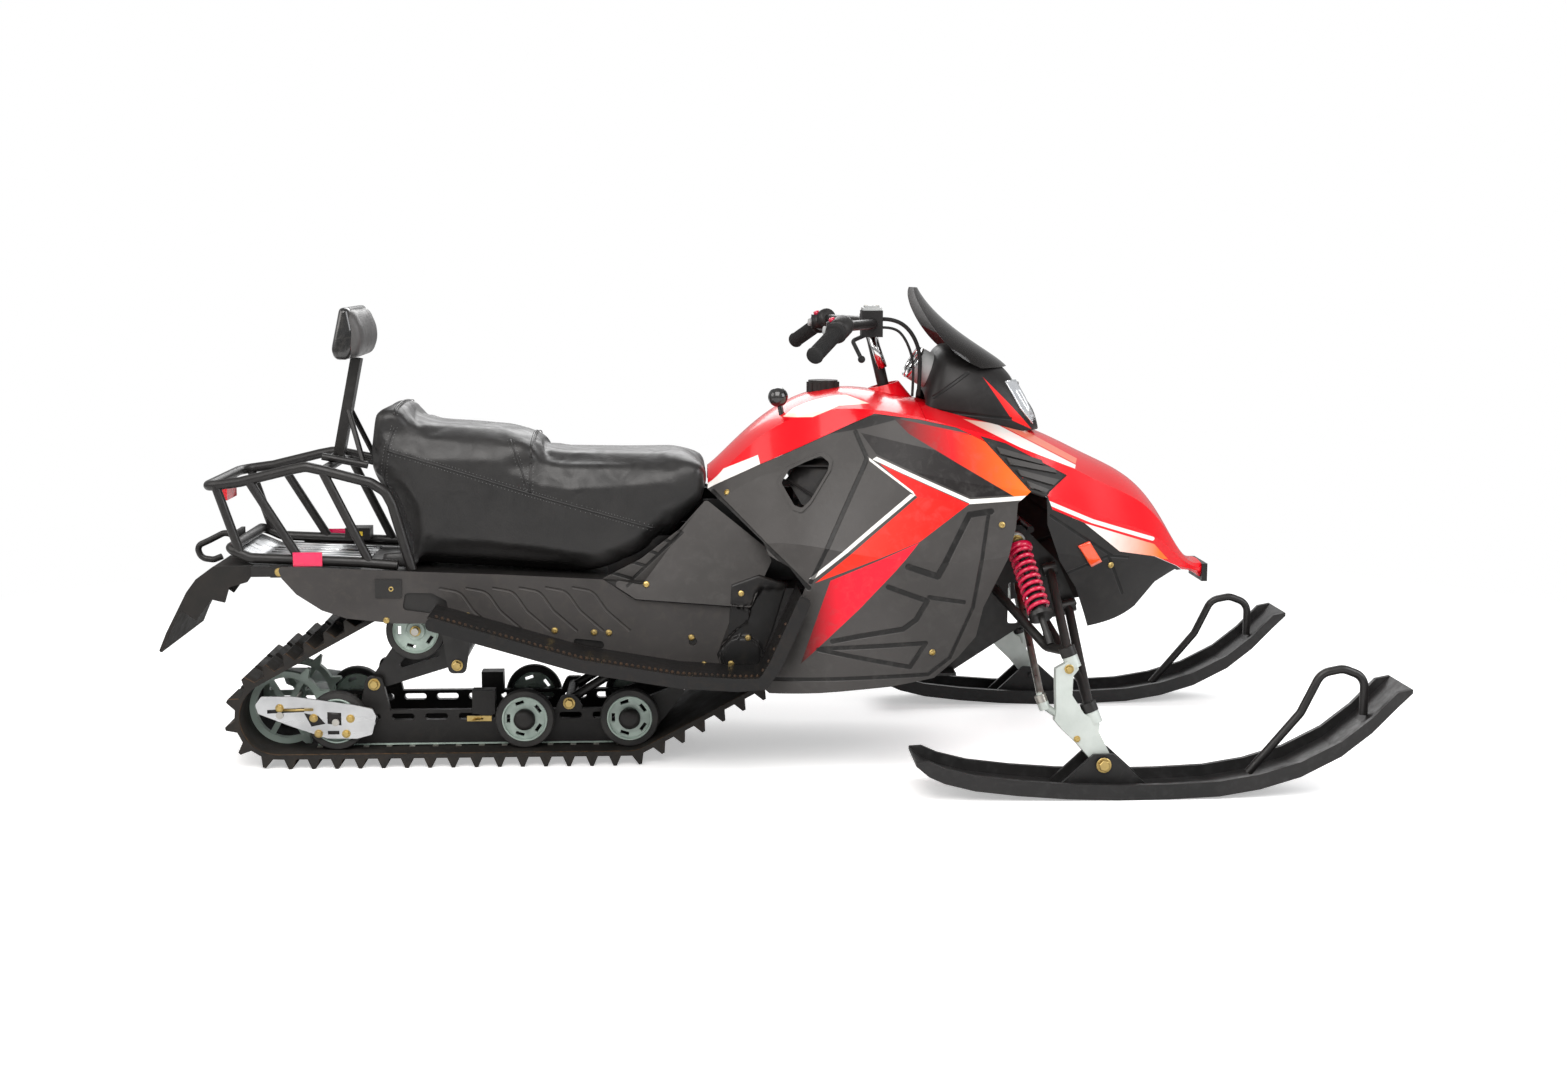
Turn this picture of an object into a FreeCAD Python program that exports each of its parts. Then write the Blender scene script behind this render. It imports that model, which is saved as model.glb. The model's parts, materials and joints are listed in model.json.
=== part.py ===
import FreeCAD, Part
import math
import os

# A two-level-seat utility snowmobile, nose towards +X, standing on its track and skis.
# Lengths are millimetres. Z is up, and the track's lug tips and ski keels are at zero.

V = FreeCAD.Vector

# Shared clearances
fit_gap = 0.3            # between pieces that seat on each other
seam_gap = 0.8           # between neighbouring body panels
pin_clearance = 0.6      # round a turning pin
overrun = 20.0           # how far a cutter runs past what it cuts

# Track
track_width = 380.0
belt_thickness = 10.0
lug_height = 22.0
lug_pitch = 50.8
lug_base = 26.0
lug_tip = 7.0
lug_channel = 26.0
belt_bottom = lug_height + belt_thickness
rear_wheel_radius = 82.0
rear_wheel_x = -1058.0
bogie_radius = 65.0
front_bogie_x = -295.0
middle_bogie_x = -526.0
rear_bogie_x = -937.0
sprocket_radius = 81.0
sprocket_x = -47.0
sprocket_z = 247.0
carrier_radius = 65.0
carrier_x = -760.0
carrier_z = 297.0

# Tunnel over the track
tunnel_wall = 3.0
tunnel_side_gap = 6.0
tunnel_rear_x = -1100.0
tunnel_front_x = 95.0
tunnel_rear_z = 449.0
tunnel_front_z = 392.0
tunnel_inner_half = track_width / 2 + tunnel_side_gap
tunnel_outer_half = tunnel_inner_half + tunnel_wall

# Flank skirts on the tunnel sides
flank_rear_x = -1044.0
flank_length = 1016.0
flank_base_z = 174.0
flank_height = 276.0
flank_plate = 5.0
flank_corner = 9.0
flute_count = 6
flute_pitch = 57.0
flute_rear_x = -700.0
flute_top_z = 400.0
flute_radius = 4.0
flute_depth = 2.0
skirt_hole_radius = 9.0

# Footboards
board_rear_x = -706.0
board_length = 783.0
board_low_z = 228.0
board_rise = 180.0
board_plate = 4.0
board_outer_half = 360.0
board_lip = 28.0
board_bend = 14.0

# Body shell
body_rear_x = -140.0
body_length = 1137.0
body_base_z = 180.0
body_height = 645.0
body_half_width = 342.0
body_wall = 4.0
tank_front_x = 345.0
vent_rim = 9.0
vent_lift = 3.0
vent_corner = 8.0

# Seat side covers
cover_length = 370.0
cover_height = 236.0
cover_rear_x = -349.0
cover_base_z = 354.0
cover_plate = 5.0
cover_lean = 11.0
cover_corner = 8.0

# Seat and backrest
seat_rear_x = -851.0
seat_length = 731.0
seat_base_z = 405.0
seat_height = 381.0
seat_half_width = 152.0
seat_bevel = 24.0
seat_corner = 18.0
backrest_width = 250.0
backrest_base_z = 886.0
backrest_height = 112.0
backrest_rear_x = -930.0
backrest_depth = 72.0
backrest_bevel = 10.0

# Windshield, cowl and lamp
cowl_rear_x = 360.0
cowl_length = 256.0
cowl_base_z = 728.0
cowl_height = 188.0
cowl_half_width = 150.0
cowl_wall = 3.0
screen_base_z = 866.0
screen_height = 174.0
screen_sheet = 3.0
screen_front_x = 552.0
screen_run = 214.0
screen_half_width = 142.0
pod_rear_x = 346.0
pod_rear_z = 872.0
pod_front_x = 404.0
pod_front_z = 838.0
pod_radius = 38.0
pod_spread = 34.0

# Nose
nub_length = 13.0
nub_height = 40.0
nub_half_width = 60.0
nub_z = 400.0

# Steering
column_top_x = 287.0
column_top_z = 780.0
column_foot_x = 612.0
column_foot_z = 468.0
neck_x = 279.0
neck_z = 815.0
column_radius = 11.0
clamp_x = 243.0
clamp_z = 962.0
riser_radius = 13.0
bar_radius = 11.0
bar_half_width = 382.0
bar_inner_half = 262.0
bar_clamp_half = 110.0
grip_radius = 16.0
grip_length = 118.0
grip_end_x = 98.0
grip_end_z = 906.0
grip_inner_x = 164.0
grip_inner_z = 962.0
collar_radius = 35.0
collar_foot_radius = 62.0
collar_height = 46.0
collar_bore = 30.0
block_length = 46.0
block_width = 52.0
block_height = 58.0
block_side = 72.0
lever_radius = 4.5
lever_reach = 128.0
lever_ball_radius = 8.0
lever_drop = 52.0
cable_lead = 26.0
brake_cable_side = -12.0
brake_cable_drop = 10.0
brake_cable_reach = 84.0
throttle_cable_side = -22.0
throttle_cable_drop = -8.0
throttle_cable_reach = 68.0
cable_fall = 190.0
pitman_length = 75.0
pitman_thickness = 8.0
pitman_half_width = 30.0
pitman_boss_radius = 13.0

# Ski suspension and skis
ski_stance = 900.0
lower_ball_x = 668.0
lower_ball_z = 181.0
upper_ball_x = 624.0
upper_ball_z = 296.0
upper_ball_inset = 14.0
arm_tube_radius = 10.0
arm_eye_radius = 17.0
arm_eye_height = 20.0
ball_pin_radius = 6.5
lower_pivot_front_x = 674.0
lower_pivot_front_z = 345.0
lower_pivot_rear_x = 612.0
lower_pivot_rear_z = 330.0
upper_pivot_front_x = 630.0
upper_pivot_front_z = 428.0
upper_pivot_rear_x = 500.0
upper_pivot_rear_z = 395.0
lower_pivot_half = 166.0
upper_pivot_half = 172.0
pivot_bush_radius = 15.0
pivot_bush_length = 30.0
shock_top_x = 547.0
shock_top_half = 220.0
shock_top_z = 498.0
shock_foot_x = 592.0
shock_foot_half = 362.0
shock_foot_z = 322.0
shock_body_radius = 15.0
spring_coil_radius = 22.0
spring_wire_radius = 4.5
spring_turns = 9
tie_ball_x = 568.0
tie_ball_half = 444.0
tie_ball_z = 199.0
tie_rod_radius = 8.0
tie_eye_radius = 12.0
spindle_boss_radius = 16.0
spindle_boss_height = 26.0
spindle_thickness = 28.0
spindle_rear_x = 594.0
spindle_length = 122.0
spindle_base_z = 54.0
spindle_height = 224.0
spindle_corner = 5.0
shock_boss_radius = 9.0
shock_boss_length = 30.0
shock_seat_drop = 30.0
ski_bolt_x = 693.0
ski_bolt_z = 68.0
ski_bolt_radius = 7.0
ski_rear_x = 300.0
ski_length = 1024.0
ski_height = 222.0
ski_width = 150.0
ski_sole = 8.0
ski_rib_width = 12.0
ski_saddle_half = 40.0
ski_saddle_plate = 9.0
loop_radius = 9.0
loop_half = 52.0

# Slide rails and their arms
rail_half = 104.0
rail_thickness = 16.0
rail_base_z = 38.0
rail_height = 74.0
rail_rear_x = -1000.0
rail_front_x = -245.0
rail_slot_length = 50.0
rail_slot_height = 15.0
rail_slot_pitch = 74.0
rail_slot_count = 9
bogie_half = 136.0
bogie_width = 26.0
wheel_slot_count = 5
axle_radius = 8.0
tensioner_plate = 6.0
tensioner_gap = 4.0
tensioner_spacer_radius = 9.0
tensioner_length = 262.0
tensioner_height = 96.0
tensioner_rear_x = -1111.0
tensioner_base_z = 60.0

# Rear rack
rack_rear_x = -1195.0
rack_length = 435.0
rack_base_z = 437.0
rack_height = 225.0
rack_half = 176.0
rack_tube_radius = 11.0
rack_corner = 34.0
deck_half = 160.0
deck_sheet = 3.0
deck_rear_x = -1150.0
deck_front_x = -873.0
deck_lift = 18.0
post_half_depth = 11.0
post_half_width = 20.0
backrest_bar_half = 82.0
backrest_bar_radius = 8.0
backrest_bar_slope = -0.2
stay_radius = 6.0
lamp_half_width = 48.0
lamp_depth = 16.0
lamp_height = 34.0
reflector_plate = 5.0
reflector_length = 62.0
reflector_height = 30.0

# Snow flap and tow hitch
flap_rear_x = -1306.0
flap_length = tunnel_rear_x - fit_gap - flap_rear_x
flap_base_z = 264.0
flap_height = 184.0
flap_sheet = 8.0
flap_half = 186.0
hitch_plate = 8.0
hitch_half = 42.0
hitch_height = 50.0
hook_radius = 7.0
hook_length = 92.0
hook_height = 62.0

# Wheels that carry teeth
tooth_height = 19.0
tooth_base = 24.0
tooth_tip = 6.0
rear_tooth_count = 9
drive_tooth_count = 9
toothed_half = 74.0
toothed_width = 18.0
toothed_rim = 14.0
spoke_count = 6
spoke_width = 12.0
drive_shaft_radius = 15.0
flange_radius = 43.0
flange_thickness = 9.0
flange_clearance = 4.0

# Suspension arms inside the track
arm_plate = 6.0
arm_plate_half = 84.0
arm_foot_x = -859.0
arm_foot_z = 171.0
arm_hanger_x = -665.0
arm_hanger_z = 230.0
arm_pivot_radius = 12.0
front_arm_foot_x = -430.0
front_arm_foot_z = 124.0
front_arm_top_x = -256.0
front_arm_top_z = 232.0
front_arm_half = 70.0
hanger_width = 88.0
stop_length = 50.0
stop_height = 44.0
stop_width = 40.0
stop_x = -618.0

# Frame that carries engine, arms and panels
frame_half = 140.0
frame_plate = 6.0
frame_rear_x = tunnel_front_x + fit_gap
frame_front_x = 655.0
pan_half = 206.0
engine_length = 260.0
engine_half_width = 122.0
engine_height = 290.0
engine_x = 240.0
shock_mount_radius = 12.0
tie_window_x = 569.0
tie_window_z = 348.0
tie_window_length = 52.0
tie_window_height = 92.0

# Small fittings
cap_x = 141.0
cap_radius = 33.0
cap_height = 20.0
cap_top_z = 834.0
cap_rib_count = 10
cap_rib_radius = 4.0
knob_x = 36.0
knob_half = 100.0
knob_z = 803.0
knob_radius = 22.0
knob_stem_radius = 6.0
brake_cable_radius = 4.5
throttle_cable_radius = 3.0

# Tables of shares, each of the sizes of the piece that it shapes
shoulder_shares = [(0.003, 0.642), (0.113, 0.744), (0.198, 0.814), (0.288, 0.887), (0.333, 0.921),
                   (0.413, 0.905), (0.485, 0.878), (0.560, 0.814), (0.623, 0.678)]
side_front_shares = [(0.595, 0.636), (0.592, 0.553), (0.578, 0.454), (0.533, 0.288), (0.521, 0.188),
                     (0.487, 0.121), (0.441, 0.054), (0.356, 0.029), (0.224, 0.011), (0.131, 0.003),
                     (0.118, 0.020), (0.141, 0.127), (0.198, 0.360), (0.168, 0.426), (0.131, 0.459),
                     (0.122, 0.499)]
nose_seam_shares = [(0.652, 0.660), (0.664, 0.609), (0.730, 0.558), (0.809, 0.448), (0.887, 0.420),
                    (0.938, 0.378), (0.982, 0.324)]
nose_lower_shares = [(0.968, 0.335), (0.936, 0.365), (0.893, 0.326), (0.855, 0.250), (0.806, 0.140),
                     (0.762, 0.140), (0.742, 0.240), (0.722, 0.330), (0.684, 0.430), (0.655, 0.560)]
# Body stations: place along the body, crown height, then half width and height of the shoulder,
# the upper flank, the lower flank and the skirt edge
body_station_shares = [
    (0.000, 0.713, (0.40, 0.682), (0.50, 0.605), (0.55, 0.527), (0.57, 0.450)),
    (0.123, 0.884, (0.40, 0.840), (0.57, 0.713), (0.74, 0.496), (0.85, -0.030)),
    (0.220, 0.974, (0.49, 0.922), (0.72, 0.744), (0.91, 0.496), (0.94, -0.030)),
    (0.334, 0.985, (0.60, 0.933), (0.85, 0.744), (0.985, 0.465), (0.93, -0.030)),
    (0.431, 0.950, (0.69, 0.905), (0.91, 0.730), (1.00, 0.450), (0.88, -0.020)),
    (0.519, 0.915, (0.72, 0.865), (0.91, 0.700), (0.956, 0.450), (0.79, 0.030)),
    (0.616, 0.871, (0.70, 0.814), (0.87, 0.674), (0.85, 0.465), (0.65, 0.080)),
    (0.704, 0.810, (0.63, 0.744), (0.765, 0.620), (0.72, 0.450), (0.53, 0.100)),
    (0.792, 0.735, (0.53, 0.667), (0.63, 0.558), (0.59, 0.420), (0.41, 0.110)),
    (0.871, 0.647, (0.41, 0.589), (0.49, 0.504), (0.455, 0.400), (0.32, 0.200)),
    (0.932, 0.496, (0.29, 0.465), (0.35, 0.426), (0.34, 0.380), (0.25, 0.318)),
    (1.000, 0.380, (0.15, 0.374), (0.17, 0.360), (0.165, 0.344), (0.13, 0.322))]
flank_top_shares = [(0.0, 1.0), (0.281, 0.953), (0.469, 0.924), (0.685, 0.880), (0.754, 0.717),
                    (1.0, 0.641)]
flank_low_shares = [(0.994, 0.536), (0.967, 0.464), (0.936, 0.337), (0.934, 0.236), (0.951, 0.0),
                    (0.869, 0.004), (0.784, 0.072), (0.678, 0.188), (0.509, 0.417), (0.362, 0.540),
                    (0.247, 0.543), (0.142, 0.587), (0.091, 0.652), (0.039, 0.779), (0.009, 0.906)]
board_shares = [(0.0, 0.767), (0.404, 0.244), (0.670, 0.044), (0.825, 0.0), (0.884, 0.0),
                (0.911, 0.190), (0.993, 0.983)]
skirt_window_shares = [
    [(0.267, 0.786), (0.323, 0.783), (0.354, 0.721), (0.359, 0.601), (0.260, 0.652)],
    [(0.747, 0.272), (0.799, 0.254), (0.806, 0.134), (0.742, 0.159)],
    [(0.622, 0.415), (0.686, 0.388), (0.686, 0.325), (0.622, 0.352)]]
skirt_hole_shares = [(0.652, 0.264), (0.876, 0.380), (0.455, 0.445)]
vent_shares = [(0.148, 0.693), (0.166, 0.743), (0.203, 0.775), (0.235, 0.798), (0.252, 0.775),
               (0.248, 0.743), (0.210, 0.634), (0.192, 0.602), (0.175, 0.611)]
cover_shares = [(0.0, 0.285), (0.195, 0.085), (0.868, 0.0), (0.957, 0.314), (0.992, 0.428),
                (0.951, 0.560), (0.608, 1.0), (0.468, 0.712), (0.232, 0.216)]
seat_top_shares = [(0.0, 0.640), (0.028, 0.580), (0.070, 0.468), (0.111, 0.240), (0.120, 0.075)]
seat_profile_shares = [(0.675, 0.025), (0.800, 0.147), (0.919, 0.318), (0.996, 0.475), (1.0, 0.628),
                       (0.988, 0.661), (0.950, 0.690), (0.744, 0.687), (0.568, 0.695),
                       (0.510, 0.718), (0.482, 0.791), (0.453, 0.819), (0.307, 0.845),
                       (0.162, 0.860), (0.111, 0.904), (0.087, 0.984), (0.049, 1.0),
                       (0.011, 0.972)]
cowl_station_shares = [(0.0, 0.40, 0.62, 0.55), (0.10, 0.88, 0.80, 0.80), (0.22, 1.0, 0.86, 0.86),
                       (0.45, 0.93, 0.90, 0.92), (0.64, 0.80, 0.88, 0.92), (0.75, 0.66, 0.84, 0.88),
                       (0.90, 0.37, 0.70, 0.72), (1.0, 0.05, 0.45, 0.44)]
screen_shares = [(0.0, 0.0, 0.34, 0.92), (0.25, 0.28, 0.66, 1.0), (0.55, 0.62, 0.86, 0.94),
                 (0.80, 0.83, 0.97, 0.72), (1.0, 0.94, 1.0, 0.36)]
rack_rail_shares = [(0.0, 0.813), (0.172, 0.858), (0.418, 0.973), (0.492, 1.0), (0.563, 0.969),
                    (0.807, 0.844), (0.878, 0.756), (0.910, 0.631), (1.0, 0.0)]
rack_post_shares = [(0.048, 0.826, 0.159), (0.211, 0.868, 0.451), (0.572, 0.960, 0.793)]
flap_top_shares = [(1.0, 1.0), (0.590, 0.995), (0.410, 0.848), (0.307, 0.696), (0.083, 0.217),
                   (0.0, 0.0)]
flap_cheek_shares = [(1.0, 1.0), (0.590, 0.995), (0.410, 0.848), (0.307, 0.696), (0.250, 0.480),
                     (0.400, 0.360), (0.566, 0.609), (0.702, 0.571), (0.751, 0.750), (0.941, 0.810),
                     (1.0, 0.90)]
hook_shares = [(1.0, 0.80), (0.70, 1.0), (0.30, 0.70), (0.0, 0.50), (0.10, 0.06), (0.40, 0.0),
               (0.60, 0.12)]
spindle_shares = [(0.02, 0.93), (0.26, 1.0), (0.43, 0.93), (0.32, 0.86), (0.30, 0.68), (0.50, 0.51),
                  (0.77, 0.42), (0.75, 0.34), (0.98, 0.09), (0.80, 0.02), (0.62, 0.08), (0.385, 0.23),
                  (0.12, 0.37), (0.0, 0.45), (0.025, 0.54)]
cable_shares = [(0.72, 0.116), (0.98, 0.347), (1.0, 0.589), (0.96, 1.0)]
tensioner_shares = [(0.0, 0.80), (0.053, 1.0), (0.317, 0.99), (0.805, 0.79), (0.970, 0.69),
                    (1.0, 0.51), (0.962, 0.09), (0.84, 0.0), (0.59, 0.01), (0.305, 0.29),
                    (0.023, 0.60)]


# Small helpers

def along(start, end, share):
    """The place at a share of the way between two values."""
    return start + (end - start) * share


def unit(vector):
    return V(vector).normalize()


def side_place(share, start_x, length, start_z, height):
    return (start_x + share[0] * length, start_z + share[1] * height)


def side_places(shares, start_x, length, start_z, height):
    """Side-view places, as (x, z), from shares of a length and a height."""
    return [side_place(share, start_x, length, start_z, height) for share in shares]


def body_places(shares, lift=0.0):
    return side_places(shares, body_rear_x, body_length, body_base_z + lift, body_height)


def corner_edges(points, radius, closed):
    """Straight runs through the points, with a tangent arc at each inner corner."""
    count = len(points)
    corners = range(count) if closed else range(1, count - 1)
    arcs = {}
    for index in corners:
        corner = points[index]
        before = points[index - 1] - corner
        after = points[(index + 1) % count] - corner
        half_angle = before.getAngle(after) / 2
        if half_angle > math.radians(88) or radius <= 0:
            continue
        reach = min(radius / math.tan(half_angle), 0.45 * before.Length, 0.45 * after.Length)
        bend = reach * math.tan(half_angle)
        middle = unit(unit(before) + unit(after))
        centre = corner + middle * (bend / math.sin(half_angle))
        arcs[index] = (corner + unit(before) * reach, centre - middle * bend,
                       corner + unit(after) * reach)
    edges = []
    spans = range(count) if closed else range(count - 1)
    for index in spans:
        following = (index + 1) % count
        start = arcs[index][2] if index in arcs else points[index]
        end = arcs[following][0] if following in arcs else points[following]
        edges.append(Part.LineSegment(start, end).toShape())
        if following in arcs:
            edges.append(Part.Arc(*arcs[following]).toShape())
    return edges


def side_wire(places, y, radius=0.0):
    points = [V(x, y, z) for x, z in places]
    return Part.Wire(corner_edges(points, radius, True))


def slab(places, y_from, y_to, radius=0.0):
    """A plate of a side-view outline between two side distances."""
    return Part.Face(side_wire(places, y_from, radius)).extrude(V(0, y_to - y_from, 0))


def bevelled_slab(places, half_width, bevel, radius):
    """A cushion: a side-view outline drawn in towards both of its side faces."""
    full = side_wire(places, 0, radius)
    middle = full.BoundBox.Center
    reach = max(full.BoundBox.XLength, full.BoundBox.ZLength)
    factor = 1 - 2 * bevel / reach

    def drawn(y, scale):
        small = [(along(middle.x, x, scale), along(middle.z, z, scale)) for x, z in places]
        return side_wire(small, y, radius)

    inner = half_width - bevel
    core = Part.makeLoft([drawn(-inner, 1), drawn(inner, 1)], True, True)
    cheeks = [Part.makeLoft([drawn(side * inner, 1), drawn(side * half_width, factor)], True, True)
              for side in (-1, 1)]
    return core.fuse(cheeks).removeSplitter()


def box(x_from, x_to, y_from, y_to, z_from, z_to):
    return Part.makeBox(x_to - x_from, y_to - y_from, z_to - z_from, V(x_from, y_from, z_from))


def rod(start, end, radius):
    direction = end - start
    return Part.makeCylinder(radius, direction.Length, start, direction)


def cross_rod(x, z, radius, y_from, y_to):
    return rod(V(x, y_from, z), V(x, y_to, z), radius)


def tube(points, radius, bend, closed=False):
    """A round tube through the points with its bends as arcs."""
    path = Part.Wire(corner_edges(points, bend, closed))
    first = path.Edges[0]
    start = first.valueAt(first.FirstParameter)
    ring = Part.Wire(Part.makeCircle(radius, start, first.tangentAt(first.FirstParameter)))
    return path.makePipeShell([ring], True, False)


def turned(profile, x, y, z):
    """A wheel: (radius, side) places turned about the cross line at x and z."""
    points = [V(x + radius, y + side, z) for radius, side in profile]
    return Part.Face(Part.makePolygon(points + points[:1])).revolve(V(x, y, z), V(0, 1, 0), 360)


def ring(x, y, z, outer, inner, width):
    half = width / 2
    return turned([(inner, -half), (outer, -half), (outer, half), (inner, half)], x, y, z)


def mirrored(shape):
    return shape.mirror(V(0, 0, 0), V(0, 1, 0))


def both_sides(shape):
    return [shape, mirrored(shape)]


def merged(shapes):
    return shapes[0].fuse(shapes[1:]).removeSplitter() if len(shapes) > 1 else shapes[0]


def strip(places, thickness, y_from, y_to, bend):
    """A folded sheet: its upper side-view line, thickened downwards."""
    lower = []
    for index, (x, z) in enumerate(places):
        before = V(*places[max(index - 1, 0)], 0)
        here = V(x, z, 0)
        after = V(*places[min(index + 1, len(places) - 1)], 0)
        ahead = unit((here - before).normalize() + (after - here).normalize()
                     if 0 < index < len(places) - 1 else after - before)
        lower.append((x + ahead.y * thickness, z - ahead.x * thickness))
    return slab(places + lower[::-1], y_from, y_to, bend)


def tunnel_top(x):
    return along(tunnel_rear_z, tunnel_front_z, (x - tunnel_rear_x) / (tunnel_front_x - tunnel_rear_x))


# Track

def track_wheels():
    """Centres and radii that the belt's inner face runs round, from the rear along the ground."""
    return [(rear_wheel_x, belt_bottom + rear_wheel_radius, rear_wheel_radius),
            (front_bogie_x, belt_bottom + bogie_radius, bogie_radius),
            (sprocket_x, sprocket_z, sprocket_radius),
            (carrier_x, carrier_z, carrier_radius)]


def belt_tangents(extra):
    """Where straight runs leave and meet each wheel, at a height over the inner face."""
    wheels = track_wheels()
    runs = []
    for index, (x, z, radius) in enumerate(wheels):
        next_x, next_z, next_radius = wheels[(index + 1) % len(wheels)]
        step = V(next_x - x, 0, next_z - z)
        lean = (radius - next_radius) / step.Length
        outward = V(step.z, 0, -step.x).normalize() * math.sqrt(1 - lean * lean)
        outward = outward + unit(step) * lean
        leave = V(x, 0, z) + outward * (radius + extra)
        meet = V(next_x, 0, next_z) + outward * (next_radius + extra)
        runs.append((leave, meet))
    return runs


def belt_edges(extra):
    """The closed belt line at a height over the inner face, as runs and arcs."""
    runs = belt_tangents(extra)
    wheels = track_wheels()
    edges = []
    for index, (leave, meet) in enumerate(runs):
        edges.append(Part.LineSegment(leave, meet).toShape())
        x, z, radius = wheels[(index + 1) % len(wheels)]
        centre = V(x, 0, z)
        next_leave = runs[(index + 1) % len(runs)][0]
        middle = centre + unit((meet - centre) + (next_leave - centre)) * (radius + extra)
        edges.append(Part.Arc(meet, middle, next_leave).toShape())
    return edges


def belt_slab(edges, y_from, y_to):
    wire = Part.Wire([edge.translated(V(0, y_from, 0)) for edge in edges])
    return Part.Face(wire).extrude(V(0, y_to - y_from, 0))


def belt_place(edges, distance):
    """The place and the travel direction at a distance along the belt line."""
    for edge in edges:
        if distance <= edge.Length:
            parameter = edge.getParameterByLength(distance)
            return edge.valueAt(parameter), unit(edge.tangentAt(parameter))
        distance -= edge.Length
    last = edges[-1]
    return last.valueAt(last.LastParameter), unit(last.tangentAt(last.LastParameter))


def lug_outline():
    """The belt's outer line with a tapered lug at each pitch."""
    edges = belt_edges(belt_thickness)
    around = sum(edge.Length for edge in edges)
    count = round(around / lug_pitch)
    places = []
    for index in range(count):
        middle = (index + 0.5) * around / count
        for share, height in ((-1, 0.0), (-1, 1.0), (1, 1.0), (1, 0.0)):
            spread = lug_tip / 2 if height else lug_base / 2
            foot, ahead = belt_place(edges, middle + share * (0.0 if height else spread))
            outward = V(-ahead.z, 0, ahead.x) * -1
            place = foot + outward * (height * lug_height)
            if height:
                place = place + ahead * (share * spread)
            places.append((place.x, place.z))
    return places


def track():
    half = track_width / 2
    outer = slab(lug_outline(), -half, half)
    wide = belt_slab(belt_edges(belt_thickness + lug_height + overrun), -half, half)
    flat = belt_slab(belt_edges(belt_thickness), -half - overrun, half + overrun)
    grooves = []
    for side in (-1, 1):
        middle = side * track_width / 6
        groove = wide.common(box(rear_wheel_x * 2, track_width * 2, middle - lug_channel / 2,
                                 middle + lug_channel / 2, -track_width, track_width * 2))
        grooves.append(groove.cut(flat))
    inner = belt_slab(belt_edges(0.0), -half - overrun, half + overrun)
    return outer.cut(inner).cut(Part.makeCompound(grooves))


# Tunnel, skirts and footboards

def flank_places(inset):
    low = side_places(flank_low_shares, flank_rear_x, flank_length, flank_base_z + inset, flank_height)
    return low


def tunnel():
    """A folded sheet over the track, closed at its front."""
    low = [place for place in flank_places(tunnel_wall) if place[0] < sprocket_x * 3]
    front_low = body_base_z + tunnel_wall * 2
    outline = [(tunnel_rear_x, tunnel_top(tunnel_rear_x)), (tunnel_front_x, tunnel_front_z),
               (tunnel_front_x, front_low), (low[0][0], front_low)] + low
    outline.append((tunnel_rear_x, low[-1][1]))
    outer = slab(outline, -tunnel_outer_half, tunnel_outer_half)
    inside = [(tunnel_rear_x - overrun, tunnel_top(tunnel_rear_x - overrun) - tunnel_wall),
              (tunnel_front_x - tunnel_wall, tunnel_front_z - tunnel_wall),
              (tunnel_front_x - tunnel_wall, 0), (tunnel_rear_x - overrun, 0)]
    hanger = [(arm_hanger_x - hanger_width / 2, tunnel_top(arm_hanger_x) - overrun * 3),
              (arm_hanger_x - arm_pivot_radius * 1.5, arm_hanger_z - arm_pivot_radius * 1.5),
              (arm_hanger_x + arm_pivot_radius * 1.5, arm_hanger_z - arm_pivot_radius * 1.5),
              (arm_hanger_x + hanger_width / 2, tunnel_top(arm_hanger_x) - overrun * 3)]
    hangers = slab(hanger, -tunnel_outer_half, tunnel_outer_half, arm_pivot_radius)
    whole = merged([outer, hangers]).cut(slab(inside, -tunnel_inner_half, tunnel_inner_half))
    return whole.cut(cross_rod(sprocket_x, sprocket_z, drive_shaft_radius + fit_gap, -tunnel_outer_half * 2,
                               tunnel_outer_half * 2))


def side_skirts():
    top = side_places(flank_top_shares, flank_rear_x, flank_length, flank_base_z, flank_height)
    inner = tunnel_outer_half + fit_gap
    outer = inner + flank_plate
    plate = slab(top + flank_places(0.0), -outer, -inner, flank_corner)
    cuts = [flange_room(), cover_plate_at(fit_gap)]
    for shares in skirt_window_shares:
        places = side_places(shares, flank_rear_x, flank_length, flank_base_z, flank_height)
        cuts.append(slab(places, -outer - overrun, -inner + overrun, flank_corner))
    for share in skirt_hole_shares:
        x, z = side_place(share, flank_rear_x, flank_length, flank_base_z, flank_height)
        cuts.append(cross_rod(x, z, skirt_hole_radius, -outer - overrun, -inner + overrun))
    for index in range(flute_count):
        cuts.append(skirt_flute(flute_rear_x + index * flute_pitch, -outer))
    return both_sides(plate.cut(cuts))


def skirt_flute(x, face_y):
    """A shallow S-shaped groove on a skirt's outer face."""
    y = face_y - flute_radius + flute_depth
    step = flute_pitch
    points = [V(x, y, flute_top_z), V(x + step * 0.8, y, flute_top_z - step * 0.15),
              V(x + step * 1.3, y, flute_top_z - step * 0.9), V(x + step * 2.2, y, flute_top_z - step * 1.7)]
    return tube(points, flute_radius, step * 0.6)


def flange_room():
    """The space kept free round the drive axle's bearing flange on the near side."""
    reach = tunnel_outer_half + flange_thickness
    return cross_rod(sprocket_x, sprocket_z, flange_radius + flange_clearance, -reach - flange_clearance,
                     -tunnel_outer_half)


def running_boards():
    places = side_places(board_shares, board_rear_x, board_length, board_low_z, board_rise)
    inner = tunnel_outer_half + flank_plate + 2 * fit_gap
    sheet = strip(places, board_plate, -board_outer_half, -inner, board_bend)
    lip = strip(places, board_lip, -board_outer_half, -board_outer_half + board_plate, board_bend)
    return both_sides(sheet.fuse(lip).removeSplitter().cut(flange_room()))


# Body shell

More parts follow.
